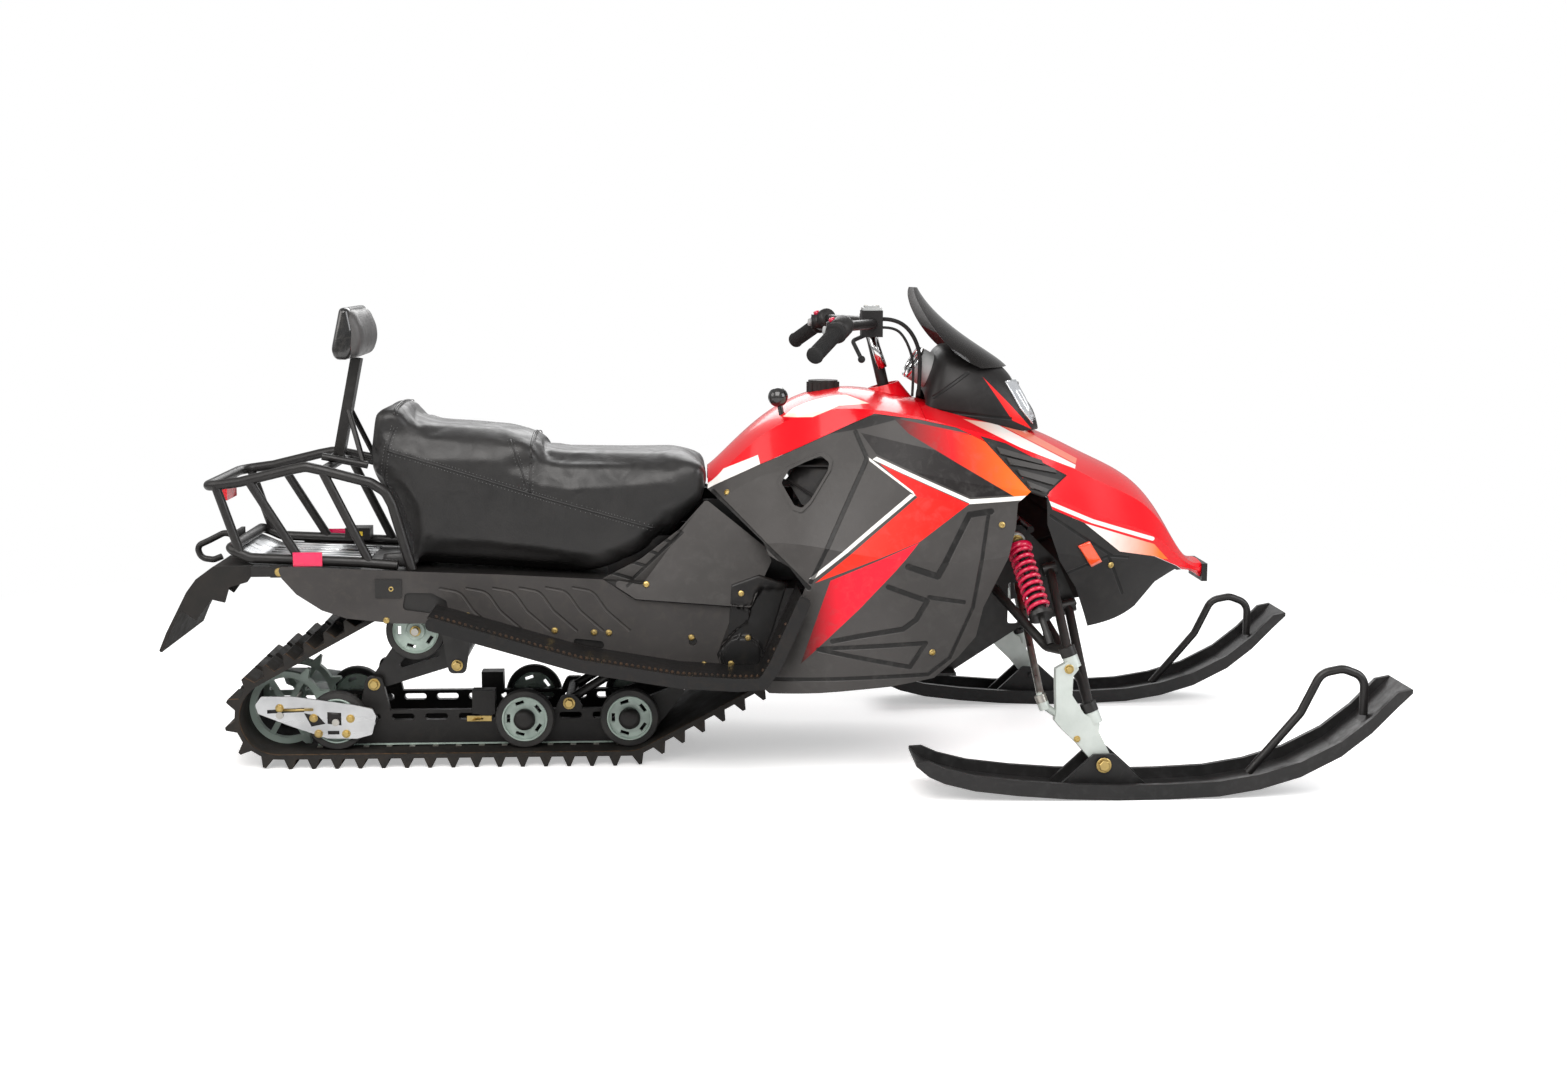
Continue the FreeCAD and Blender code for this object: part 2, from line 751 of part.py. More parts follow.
def body_section(station, inset, drop, shift):
    """One closed cross section: a crowned top between creased flanks, straight underneath."""
    x_share, crown, shoulder, upper, lower, skirt = station
    x = body_rear_x + x_share * body_length + shift
    right = []
    for width, height in (skirt, lower, upper, shoulder):
        right.append(V(x, width * body_half_width - inset, body_base_z + height * body_height))
    right[0] = right[0] - V(0, 0, drop)
    right[-1] = right[-1] - V(0, 0, inset)
    top = V(x, 0, body_base_z + crown * body_height - inset)
    left = [V(place.x, -place.y, place.z) for place in reversed(right)]
    crown_curve = Part.BSplineCurve()
    crown_curve.interpolate(Points=[right[-1], top, left[0]], Parameters=[0, 1, 2])
    edges = [Part.LineSegment(start, end).toShape() for start, end in zip(right, right[1:])]
    edges.append(crown_curve.toShape())
    edges += [Part.LineSegment(start, end).toShape() for start, end in zip(left, left[1:])]
    edges.append(Part.LineSegment(left[-1], right[0]).toShape())
    return Part.Wire(edges)


def body_loft(inset, drop, rear_shift, nose_shift):
    wires = []
    for index, station in enumerate(body_station_shares):
        shift = rear_shift if index == 0 else 0
        if index == len(body_station_shares) - 1:
            shift = nose_shift
        wires.append(body_section(station, inset, drop, shift))
    return Part.makeLoft(wires, True, False)


def body_shell():
    outer = body_loft(0.0, 0.0, 0.0, 0.0)
    inner = body_loft(body_wall, overrun, -overrun, -body_wall * 2)
    return outer.cut(inner)


def top_places():
    """The seam over the flanks, from the seat to the front corner of the side panels."""
    places = body_places(shoulder_shares)
    seat_front_x = seat_rear_x + seat_length + seam_gap
    share = (seat_front_x - places[0][0]) / (places[1][0] - places[0][0])
    places[0] = (seat_front_x, along(places[0][1], places[1][1], share))
    return places


def raised(places, lift):
    return [(x, z + lift) for x, z in places]


def tank_cover(shell):
    seam = raised([place for place in top_places() if place[0] < tank_front_x], seam_gap / 2)
    last_x, last_z = seam[-1]
    following = raised(top_places(), seam_gap / 2)[len(seam)]
    share = (tank_front_x - last_x) / (following[0] - last_x)
    front = (tank_front_x - seam_gap / 2, along(last_z, following[1], share))
    high = body_base_z + body_height + overrun
    outline = seam + [front, (front[0], high), (seam[0][0], high)]
    cover = shell.common(slab(outline, -body_half_width - overrun, body_half_width + overrun))
    collar = neck_collar().cut(body_loft(body_wall / 2, overrun, -overrun, -body_wall * 2))
    return largest(merged([largest(cover), collar]).cut(neck_bore()))


def hood(shell):
    seam = [place for place in top_places() if place[0] > tank_front_x]
    before = [place for place in top_places() if place[0] < tank_front_x][-1]
    share = (tank_front_x - before[0]) / (seam[0][0] - before[0])
    start = (tank_front_x + seam_gap / 2, along(before[1], seam[0][1], share))
    low = body_places(nose_seam_shares)
    nose_x = body_rear_x + body_length + overrun
    outline = raised([start] + seam + low, seam_gap / 2)
    outline = outline + [(nose_x, low[-1][1]), (nose_x, body_base_z + body_height + overrun),
                         (start[0], body_base_z + body_height + overrun)]
    return shell.common(slab(outline, -body_half_width - overrun, body_half_width + overrun))


def side_panels(shell):
    outline = raised(top_places(), -seam_gap / 2) + body_places(side_front_shares)
    panel = largest(shell.common(slab(outline, -body_half_width - overrun, 0)))
    places = body_places(vent_shares)
    middle_x = sum(x for x, z in places) / len(places)
    middle_z = sum(z for x, z in places) / len(places)
    reach = max(abs(x - middle_x) for x, z in places)
    inner = [(along(middle_x, x, 1 - vent_rim / reach), along(middle_z, z, 1 - vent_rim / reach))
             for x, z in places]
    raised_skin = body_loft(-vent_lift, 0.0, 0.0, 0.0).cut(body_loft(body_wall / 2, overrun, -overrun, 0.0))
    rim = raised_skin.common(slab(places, -body_half_width - overrun, 0, vent_corner))
    hole = slab(inner, -body_half_width - overrun, 0, vent_corner)
    return both_sides(largest(panel.fuse(largest(rim)).cut(hole)))


def nose_panel(shell):
    outline = raised(body_places(nose_seam_shares), -seam_gap / 2) + body_places(nose_lower_shares)
    return both_sides(largest(shell.common(slab(outline, -body_half_width - overrun, 0))))


def largest(shape):
    return max(shape.Solids, key=lambda solid: solid.Volume)


def cover_plate_at(growth):
    """The near seat side cover, thickened by a growth on its inner and outer face."""
    places = side_places(cover_shares, cover_rear_x, cover_length, cover_base_z, cover_height)
    rise = tunnel_top(cover_rear_x) - cover_base_z
    inner = tunnel_outer_half + fit_gap + rise * math.tan(math.radians(cover_lean))
    plate = slab(places, -inner - cover_plate - growth, -inner + growth, cover_corner)
    plate.rotate(V(0, -inner, cover_base_z), V(1, 0, 0), -cover_lean)
    return plate


def seat_side_covers():
    return both_sides(cover_plate_at(0.0))


def front_bumper():
    nose_x = body_rear_x + body_length
    return box(nose_x + fit_gap, nose_x + nub_length, -nub_half_width, nub_half_width,
               nub_z - nub_height / 2, nub_z + nub_height / 2)


# Seat, cowl and screen

def seat():
    shape = side_places(seat_profile_shares, seat_rear_x, seat_length, seat_base_z, seat_height)
    rear = side_places(seat_top_shares, seat_rear_x, seat_length, seat_base_z, seat_height)
    rear[-1] = (rear[-1][0], tunnel_top(rear[-1][0]) + fit_gap)
    shape[0] = (shape[0][0], tunnel_top(shape[0][0]) + fit_gap)
    return bevelled_slab(rear + shape, seat_half_width, seat_bevel, seat_corner)


def backrest_pad():
    rear = backrest_rear_x
    places = [(rear + backrest_depth * share, backrest_base_z + backrest_height * rise)
              for share, rise in ((0.0, 0.22), (0.10, 0.0), (0.80, 0.0), (1.0, 0.36), (0.98, 0.62),
                                  (0.72, 0.98), (0.36, 1.0))]
    return bevelled_slab(places, backrest_width / 2, backrest_bevel, backrest_bevel)


def cowl_section(station, inset, shift):
    x_share, crown, width, base_width = station
    x = cowl_rear_x + x_share * cowl_length + shift
    half = width * cowl_half_width - inset
    foot = base_width * cowl_half_width - inset
    top = cowl_base_z + crown * cowl_height - inset
    low = cowl_base_z
    drop = V(0, 0, overrun if inset else 0)
    places = [V(x, foot, low) - drop, V(x, half, along(low, top, 0.55)),
              V(x, half * 0.62, along(low, top, 0.92)),
              V(x, 0, top), V(x, -half * 0.62, along(low, top, 0.92)),
              V(x, -half, along(low, top, 0.55)), V(x, -foot, low) - drop]
    curve = Part.BSplineCurve()
    curve.interpolate(Points=places, Parameters=[index / 6 for index in range(7)])
    return Part.Wire([curve.toShape(), Part.LineSegment(places[-1], places[0]).toShape()])


def cowl_body(inset, rear_shift, front_shift):
    last = len(cowl_station_shares) - 1
    wires = [cowl_section(station, inset, rear_shift if index == 0 else front_shift if index == last
                          else 0) for index, station in enumerate(cowl_station_shares)]
    return Part.makeLoft(wires, True, False)


def lamp_zone():
    """The front patch of the cowl that is lens."""
    front = cowl_rear_x + cowl_length
    top = cowl_base_z + cowl_height
    places = [(along(cowl_rear_x, front, 0.74), along(cowl_base_z, top, 0.66)),
              (along(cowl_rear_x, front, 0.80), along(cowl_base_z, top, 0.40)),
              (along(cowl_rear_x, front, 0.93), along(cowl_base_z, top, 0.10)),
              (front + overrun, along(cowl_base_z, top, 0.10)), (front + overrun, top),
              (along(cowl_rear_x, front, 0.74), top)]
    half = cowl_half_width * 0.72
    return slab(places, -half, half)


def cowl_parts():
    shell = cowl_body(0.0, 0.0, 0.0).cut(cowl_body(cowl_wall, -overrun, -cowl_wall * 2))
    above = body_loft(-fit_gap, 0.0, 0.0, fit_gap)
    shell = shell.cut(above)
    zone = lamp_zone()
    lens = shell.common(zone)
    cowl = shell.cut(zone)
    return largest(cowl), largest(lens)


def screen_section(station):
    rise, front, side, width = station
    z = screen_base_z + rise * screen_height
    front_x = screen_front_x - front * screen_run
    side_x = screen_front_x - side * screen_run
    half = width * screen_half_width
    outer = Part.Arc(V(side_x, half, z), V(front_x, 0, z), V(side_x, -half, z))
    inner = Part.Arc(V(side_x, -half + screen_sheet, z), V(front_x - screen_sheet, 0, z),
                     V(side_x, half - screen_sheet, z))
    return Part.Wire([outer.toShape(),
                      Part.LineSegment(outer.EndPoint, inner.StartPoint).toShape(),
                      inner.toShape(),
                      Part.LineSegment(inner.EndPoint, outer.StartPoint).toShape()])


def windshield():
    sheet = Part.makeLoft([screen_section(station) for station in screen_shares], True, False)
    return largest(sheet.cut(cowl_body(-fit_gap, -fit_gap, fit_gap)))


def instrument_pod():
    """Twin round housing behind the screen, seated on the cowl."""
    dials = [rod(V(pod_rear_x, side * pod_spread, pod_rear_z), V(pod_front_x, side * pod_spread, pod_front_z),
                 pod_radius) for side in (-1, 1)]
    whole = merged(dials).cut(cowl_body(-fit_gap, -fit_gap, fit_gap))
    return largest(whole.cut(body_loft(-fit_gap, 0.0, 0.0, fit_gap)))


# Steering

def column_direction():
    return unit(V(column_top_x - column_foot_x, 0, column_top_z - column_foot_z))


def riser_direction():
    return unit(V(clamp_x - neck_x, 0, clamp_z - neck_z))


def steering_column():
    """Raked post with the crank that moves the tie rods at its foot."""
    foot = V(column_foot_x, 0, column_foot_z)
    up = column_direction()
    post = rod(foot - up * pitman_thickness, V(column_top_x, 0, column_top_z), column_radius)
    ahead = V(up.z, 0, -up.x)
    pin = foot - ahead * pitman_length
    sheet = [foot + ahead * pitman_boss_radius - V(0, pitman_boss_radius, 0),
             foot + ahead * pitman_boss_radius + V(0, pitman_boss_radius, 0),
             pin + V(0, pitman_half_width, 0), pin - V(0, pitman_half_width, 0)]
    crank = Part.Face(Part.makePolygon(sheet + sheet[:1])).extrude(up * -pitman_thickness)
    eyes = [rod(pin + V(0, side * pitman_half_width, 0),
                pin + V(0, side * pitman_half_width, 0) - up * pitman_thickness, pitman_boss_radius)
            for side in (-1, 1)]
    return merged([post, crank] + eyes)


def handlebar():
    """Bent bar on a riser that stands on the raked post."""
    centre = V(clamp_x, 0, clamp_z)
    points = [V(grip_end_x, -bar_half_width, grip_end_z), V(grip_inner_x, -bar_inner_half, grip_inner_z),
              centre + V(0, -bar_clamp_half, 0), centre + V(0, bar_clamp_half, 0),
              V(grip_inner_x, bar_inner_half, grip_inner_z), V(grip_end_x, bar_half_width, grip_end_z)]
    bar = tube(points, bar_radius, bar_radius * 5)
    top = V(column_top_x, 0, column_top_z) + column_direction() * fit_gap
    riser = rod(top, centre, riser_radius)
    below = rod(top, top - column_direction() * riser_radius * 4, riser_radius * 4)
    return merged([bar, riser.cut(below)])


def hand_controls():
    pieces = []
    centre = V(clamp_x, 0, clamp_z)
    bar = rod(centre - V(0, bar_half_width, 0), centre + V(0, bar_half_width, 0), bar_radius + fit_gap)
    block = box(clamp_x - block_length / 2, clamp_x + block_length / 2, -block_side - block_width / 2,
                -block_side + block_width / 2, clamp_z - block_height / 2, clamp_z + block_height / 2)
    pieces.append(block.cut(bar))
    for side in (-1, 1):
        end = V(grip_end_x, side * bar_half_width, grip_end_z)
        inner = V(grip_inner_x, side * bar_inner_half, grip_inner_z)
        toward = unit(inner - end)
        grip = rod(end - toward * fit_gap, end + toward * grip_length, grip_radius)
        pieces.append(grip.cut(rod(end - toward * overrun, end + toward * (grip_length + overrun),
                                   bar_radius + fit_gap)))
    pieces[0] = merged([pieces[0], brake_lever()])
    return pieces


def brake_lever():
    """A lever from the block towards the grip, ending in a ball."""
    start = V(clamp_x, -block_side, clamp_z - block_height / 2 + lever_radius * 2)
    elbow = start - V(block_length, block_width, lever_drop * 0.3)
    end = start - V(block_length * 0.7, lever_reach, lever_drop)
    return merged([tube([start, elbow, end], lever_radius, lever_radius * 5),
                   Part.makeSphere(lever_ball_radius, end)])


# Front suspension

def ball_places(side):
    half = ski_stance / 2
    lower = V(lower_ball_x, side * half, lower_ball_z)
    upper = V(upper_ball_x, side * (half - upper_ball_inset), upper_ball_z)
    return lower, upper


def kingpin(side):
    lower, upper = ball_places(side)
    return unit(upper - lower)


def shock_ends(side):
    return (V(shock_top_x, side * shock_top_half, shock_top_z),
            V(shock_foot_x, side * shock_foot_half, shock_foot_z))


def shock_seat(side):
    """Where the upper arm's boss starts, just past the end of the shock."""
    top, foot = shock_ends(side)
    down = unit(foot - top)
    return foot + down * fit_gap, foot + down * shock_boss_length


def arm(ball, axis, front, rear, rear_bend):
    """An eye on the kingpin line, with a straight front leg and a bent rear one to their bushes."""
    eye = rod(ball - axis * (arm_eye_height / 2), ball + axis * (arm_eye_height / 2), arm_eye_radius)
    toward = unit(rear - front)
    legs = [rod(front, ball, arm_tube_radius), tube([rear, rear_bend, ball], arm_tube_radius,
                                                    arm_tube_radius * 4)]
    bushes = [rod(place - toward * (pivot_bush_length / 2), place + toward * (pivot_bush_length / 2),
                  pivot_bush_radius) for place in (front, rear)]
    return eye, legs + bushes


def suspension_arms():
    arms = []
    for side in (-1, 1):
        lower, upper = ball_places(side)
        axis = kingpin(side)
        front = V(lower_pivot_front_x, side * lower_pivot_half, lower_pivot_front_z)
        rear = V(lower_pivot_rear_x, side * lower_pivot_half, lower_pivot_rear_z)
        bend = lower + (front - lower) * 0.25
        bend.x = bend.x - arm_tube_radius / 2
        eye, rest = arm(lower, axis, front, rear, bend)
        reach = arm_eye_height / 2 + spindle_boss_height * 0.8
        pin = rod(lower, lower - axis * reach, ball_pin_radius)
        under = rod(lower - axis * (arm_eye_height / 2), lower - axis * reach * 2, arm_eye_radius * 2)
        arms.append(merged([merged(rest + [eye]).cut(under), pin]))
        front = V(upper_pivot_front_x, side * upper_pivot_half, upper_pivot_front_z)
        rear = V(upper_pivot_rear_x, side * upper_pivot_half, upper_pivot_rear_z)
        seat_start, seat_end = shock_seat(side)
        eye, rest = arm(upper, axis, front, rear, seat_start - V(0, 0, shock_seat_drop))
        pin = rod(upper, upper - axis * reach, ball_pin_radius)
        under = rod(upper - axis * (arm_eye_height / 2), upper - axis * reach * 2, arm_eye_radius * 2)
        boss = rod(seat_start, seat_end, shock_boss_radius)
        arms.append(merged([merged(rest + [eye]).cut(under), pin, boss]))
    return arms


def spindle(side):
    """Cast upright under both ball joints, with its foot on the ski bolt."""
    lower, upper = ball_places(side)
    axis = kingpin(side)
    gap = arm_eye_height / 2 + fit_gap
    middle = side * ski_stance / 2
    places = side_places(spindle_shares, spindle_rear_x, spindle_length, spindle_base_z, spindle_height)
    plate = slab(places, middle - spindle_thickness / 2, middle + spindle_thickness / 2, spindle_corner)
    lean = math.degrees(math.atan2(upper_ball_inset, upper_ball_z - lower_ball_z))
    plate.rotate(lower, V(1, 0, 0), side * lean)
    bosses = [rod(ball - axis * gap, ball - axis * (gap + spindle_boss_height), spindle_boss_radius)
              for ball in (lower, upper)]
    bolt = V(ski_bolt_x, middle, ski_bolt_z)
    foot_half = ski_saddle_half - ski_saddle_plate - pin_clearance
    foot = cross_rod(bolt.x, bolt.z, spindle_boss_radius, bolt.y - foot_half, bolt.y + foot_half)
    ball = V(tie_ball_x, side * tie_ball_half, tie_ball_z)
    drop = tie_rod_radius + fit_gap
    boss = rod(ball - axis * drop, ball - axis * (drop + tie_rod_radius * 2), tie_eye_radius)
    root = V(spindle_rear_x + spindle_length * 0.16, lower.y, spindle_base_z + spindle_height * 0.46)
    steer = rod(ball - axis * (drop + tie_rod_radius), root, tie_rod_radius - fit_gap)
    pin = rod(ball - axis * drop * 2, ball + axis * tie_rod_radius * 1.5, ball_pin_radius)
    whole = merged([plate, foot, boss, steer, pin] + bosses)
    room = arm_eye_radius + pin_clearance * 6
    cuts = [rod(ball_place - axis * gap, ball_place + axis * arm_eye_height * 1.5, room)
            for ball_place in (lower, upper)]
    cuts += [rod(ball_place, ball_place - axis * (gap + spindle_boss_height * 0.8 + pin_clearance),
                 ball_pin_radius + pin_clearance) for ball_place in (lower, upper)]
    cuts.append(cross_rod(bolt.x, bolt.z, ski_bolt_radius + pin_clearance, bolt.y - ski_width,
                          bolt.y + ski_width))
    return largest(whole.cut(cuts))


def tie_rod(side):
    axis = kingpin(side)
    ball = V(tie_ball_x, side * tie_ball_half, tie_ball_z)
    eye = rod(ball - axis * tie_rod_radius, ball + axis * tie_rod_radius, tie_eye_radius)
    up = column_direction()
    ahead = V(up.z, 0, -up.x)
    pin = V(column_foot_x, side * pitman_half_width, column_foot_z) - ahead * pitman_length
    inner = pin - up * (pitman_thickness + tie_rod_radius * 2)
    rod_body = rod(inner, ball, tie_rod_radius)
    inner_eye = rod(inner - up * tie_rod_radius, inner + up * tie_rod_radius, tie_eye_radius)
    bore = rod(ball - axis * tie_rod_radius * 3, ball + axis * tie_rod_radius * 3,
               ball_pin_radius + pin_clearance)
    return merged([rod_body, eye, inner_eye]).cut(bore)


def shock_absorbers():
    shocks = []
    for side in (-1, 1):
        top, foot = shock_ends(side)
        down = unit(foot - top)
        length = (foot - top).Length
        body = rod(top + down * length * 0.42, top + down * length * 0.82, shock_body_radius)
        shaft = rod(top, foot, shock_body_radius / 2)
        caps = [rod(top + down * length * share, top + down * length * (share + 0.04),
                    spring_coil_radius + spring_wire_radius) for share in (0.06, 0.80)]
        mount = cross_rod(shock_top_x, shock_top_z, shock_mount_radius + fit_gap,
                          side * (shock_top_half - shock_mount_radius * 3),
                          side * (shock_top_half + shock_mount_radius + fit_gap))
        shocks.append(largest(merged([body, shaft] + caps).cut(mount)))
    return shocks


def coil_springs():
    springs = []
    for side in (-1, 1):
        top, foot = shock_ends(side)
        down = unit(foot - top)
        length = (foot - top).Length
        room = length * 0.70 - 2 * spring_wire_radius - 2 * fit_gap
        helix = Part.makeHelix(room / spring_turns, room, spring_coil_radius)
        section = Part.Wire(Part.makeCircle(spring_wire_radius, V(spring_coil_radius, 0, 0),
                                            V(0, 1, 0)))
        coil = Part.Wire(helix).makePipeShell([section], True, True)
        turn = FreeCAD.Rotation(V(0, 0, 1), down)
        start = top + down * (length * 0.10 + spring_wire_radius + fit_gap)
        coil.Placement = FreeCAD.Placement(start, turn)
        springs.append(coil)
    return springs


# Skis

ski_under_shares = [(0.0, 0.345), (0.026, 0.243), (0.058, 0.176), (0.119, 0.104), (0.206, 0.054),
                    (0.304, 0.018), (0.407, 0.0), (0.510, 0.005), (0.613, 0.027), (0.696, 0.090),
                    (0.778, 0.203), (0.859, 0.392), (0.920, 0.613), (0.970, 0.851), (1.0, 0.986)]


def ski_line(x_share):
    """Height share of the sole at a share of the ski's length."""
    for (start_x, start_z), (end_x, end_z) in zip(ski_under_shares, ski_under_shares[1:]):
        if x_share <= end_x:
            return along(start_z, end_z, (x_share - start_x) / (end_x - start_x))
    return ski_under_shares[-1][1]


def ski(side):
    """Curved sole with raised edges, a middle rib and the saddle that holds the bolt."""
    middle = side * ski_stance / 2
    sole = side_places(ski_under_shares, ski_rear_x, ski_length, 0, ski_height)
    upper = [(x, z + ski_sole) for x, z in sole]
    plate = slab(sole + upper[::-1], middle - ski_width / 2, middle + ski_width / 2)
    wall_top = [(x, z + ski_sole + ski_rib_width * 2) for x, z in sole[1:-1]]
    wall = sole + [upper[-1]] + wall_top[::-1] + [upper[0]]
    walls = [slab(wall, middle + offset - ski_rib_width / 2, middle + offset + ski_rib_width / 2)
             for offset in (-ski_width / 2 + ski_rib_width / 2, ski_width / 2 - ski_rib_width / 2)]
    ear_top = ski_bolt_z + ski_bolt_radius * 3
    ear = [(ski_bolt_x - ski_bolt_z * 1.6, ski_sole), (ski_bolt_x + ski_bolt_z * 1.6, ski_sole),
           (ski_bolt_x + ski_bolt_radius * 3, ear_top), (ski_bolt_x - ski_bolt_radius * 3, ear_top)]
    ears = [slab(ear, middle + offset - ski_saddle_plate / 2, middle + offset + ski_saddle_plate / 2,
                 ski_bolt_radius)
            for offset in (-ski_saddle_half + ski_saddle_plate / 2, ski_saddle_half - ski_saddle_plate / 2)]
    bolt = cross_rod(ski_bolt_x, ski_bolt_z, ski_bolt_radius, middle - ski_saddle_half - ski_bolt_radius,
                     middle + ski_saddle_half + ski_bolt_radius)
    return merged([plate] + walls + ears + [bolt])


def ski_loop(side):
    middle = side * ski_stance / 2
    places = [(0.690, 0.30), (0.795, 0.70), (0.835, 1.08), (0.880, 1.12), (0.925, 1.04)]
    rise = ski_sole
    points = [V(ski_rear_x + x * ski_length, middle, rise + z * ski_height) for x, z in places]
    foot = V(points[0].x, middle, ski_line(0.690) * ski_height + ski_sole + fit_gap + loop_radius)
    tip = V(points[-1].x, middle, ski_line(0.925) * ski_height + ski_sole + fit_gap + loop_radius)
    return tube([foot] + points[1:-1] + [points[-1], tip], loop_radius, loop_radius * 4)


# Slide rails, wheels and arms

def slide_rails():
    high = rail_base_z + rail_height
    places = [(rail_rear_x, rail_base_z), (rail_front_x - rail_height, rail_base_z),
              (rail_front_x, rail_base_z + rail_height / 4),
              (rail_front_x + rail_height, high + rail_height / 2),
              (rail_front_x + rail_height * 0.8, high + rail_height * 0.7),
              (rail_front_x - rail_height, high), (rail_rear_x, high)]
    rail = slab(places, -rail_half - rail_thickness / 2, -rail_half + rail_thickness / 2, rail_height / 4)
    stop = box(stop_x - stop_length / 2, stop_x + stop_length / 2, -rail_half - stop_width / 2,
               -rail_half + stop_width / 2, high - overrun / 2, high + stop_height)
    brackets = []
    for lug_x, lug_z in ((arm_foot_x, arm_foot_z), (front_arm_foot_x, front_arm_foot_z)):
        wide = arm_pivot_radius * 3
        narrow = arm_pivot_radius * 1.4
        lug = [(lug_x - wide, high - overrun / 2), (lug_x + wide, high - overrun / 2),
               (lug_x + narrow, lug_z + narrow), (lug_x - narrow, lug_z + narrow)]
        brackets.append(slab(lug, -rail_half - rail_thickness / 2, -rail_half + rail_thickness / 2,
                             arm_pivot_radius))
    bores = [cross_rod(x, z, axle_radius + fit_gap, -track_width, 0) for x, z in axle_places()]
    slot_z = high - rail_slot_height
    for index in range(rail_slot_count):
        slot_x = rail_rear_x + rail_slot_pitch * (index + 0.4)
        slot_end = slot_x + rail_slot_length
        places = [(slot_x, slot_z - rail_slot_height / 2), (slot_end, slot_z - rail_slot_height / 2),
                  (slot_end, slot_z + rail_slot_height / 2), (slot_x, slot_z + rail_slot_height / 2)]
        bores.append(slab(places, -track_width, 0, rail_slot_height * 0.48))
    return both_sides(merged([rail, stop] + brackets).cut(bores))


def wheel(x, y, z, radius):
    """A rubber-tyred disc wheel with a dished web and a hub."""
    half = bogie_width / 2
    profile = [(axle_radius + fit_gap, -half), (radius * 0.30, -half), (radius * 0.34, -half * 0.4),
               (radius * 0.72, -half * 0.3), (radius * 0.78, -half), (radius * 0.96, -half),
               (radius, -half * 0.7), (radius, half * 0.7), (radius * 0.96, half), (radius * 0.78, half),
               (radius * 0.72, half * 0.3), (radius * 0.34, half * 0.4), (radius * 0.30, half),
               (axle_radius + fit_gap, half)]
    whole = turned(profile, x, y, z)
    slots = []
    for index in range(wheel_slot_count):
        slot = box(x + radius * 0.50, x + radius * 0.62, y - bogie_width, y + bogie_width,
                   z - radius * 0.15, z + radius * 0.15)
        slot.rotate(V(x, y, z), V(0, 1, 0), (index + 0.5) * 360 / wheel_slot_count)
        slots.append(slot)
    return whole.cut(slots)


def bogie_wheels():
    wheels = []
    ground_z = belt_bottom + bogie_radius
    places = [(front_bogie_x, ground_z), (middle_bogie_x, ground_z), (rear_bogie_x, ground_z),
              (carrier_x, carrier_z)]
    for x, z in places:
        for side in (-1, 1):
            wheels.append(wheel(x, side * bogie_half, z, bogie_radius - fit_gap))
    return wheels


def axle_places():
    ground_z = belt_bottom + bogie_radius
    return [(front_bogie_x, ground_z), (middle_bogie_x, ground_z), (rear_bogie_x, ground_z),
            (rear_wheel_x, belt_bottom + rear_wheel_radius), (carrier_x, carrier_z)]


def tensioner_inner():
    return bogie_half + bogie_width / 2 + tensioner_gap


def wheel_axles():
    reach = tensioner_inner() + tensioner_plate + axle_radius / 2
    return [cross_rod(x, z, axle_radius, -reach, reach) for x, z in axle_places()]


def tensioner_plates():
    """Plates outside the rear wheels, stood off the rails on spacers."""
    inner = tensioner_inner()
    places = side_places(tensioner_shares, tensioner_rear_x, tensioner_length, tensioner_base_z,
                         tensioner_height)
    plate = slab(places, -inner - tensioner_plate, -inner, tensioner_plate)
    spacers = [cross_rod(tensioner_rear_x + tensioner_length * x, tensioner_base_z + tensioner_height * z,
                         tensioner_spacer_radius, -inner, -rail_half - rail_thickness / 2 - fit_gap)
               for x, z in ((0.955, 0.35),)]
    whole = merged([plate] + spacers)
    bores = [cross_rod(x, z, axle_radius + fit_gap, -inner * 2, 0)
             for x, z in axle_places()[2:4]]
    return both_sides(whole.cut(bores))


def toothed_wheel(x, y, z, radius, count, bore):
    """A spoked ring with pointed teeth, trimmed to the space inside the belt."""
    rim = ring(x, y, z, radius - fit_gap, radius - toothed_rim, toothed_width)
    hub = ring(x, y, z, bore * 2, bore + fit_gap, toothed_width)
    spokes = []
    for index in range(spoke_count):
        spoke = box(x + bore * 2 - fit_gap, x + radius - toothed_rim / 2, y - toothed_width / 4,
                    y + toothed_width / 4, z - spoke_width / 2, z + spoke_width / 2)
        spoke.rotate(V(x, y, z), V(0, 1, 0), index * 360 / spoke_count)
        spokes.append(spoke)
    teeth = []
    foot = radius - toothed_rim / 2
    for index in range(count):
        profile = [(x + foot, z - tooth_base / 2), (x + radius + tooth_height, z - tooth_tip / 2),
                   (x + radius + tooth_height, z + tooth_tip / 2), (x + foot, z + tooth_base / 2)]
        tooth = slab(profile, y - toothed_width / 2, y + toothed_width / 2)
        tooth.rotate(V(x, y, z), V(0, 1, 0), (index + 0.5) * 360 / count)
        teeth.append(tooth)
    whole = merged([rim, hub] + spokes + teeth)
    room = belt_slab(belt_edges(-fit_gap), y - toothed_width, y + toothed_width)
    return largest(whole.common(room))


def rear_sprockets():
    return [toothed_wheel(rear_wheel_x, side * toothed_half, belt_bottom + rear_wheel_radius,
                          rear_wheel_radius, rear_tooth_count, axle_radius) for side in (-1, 1)]


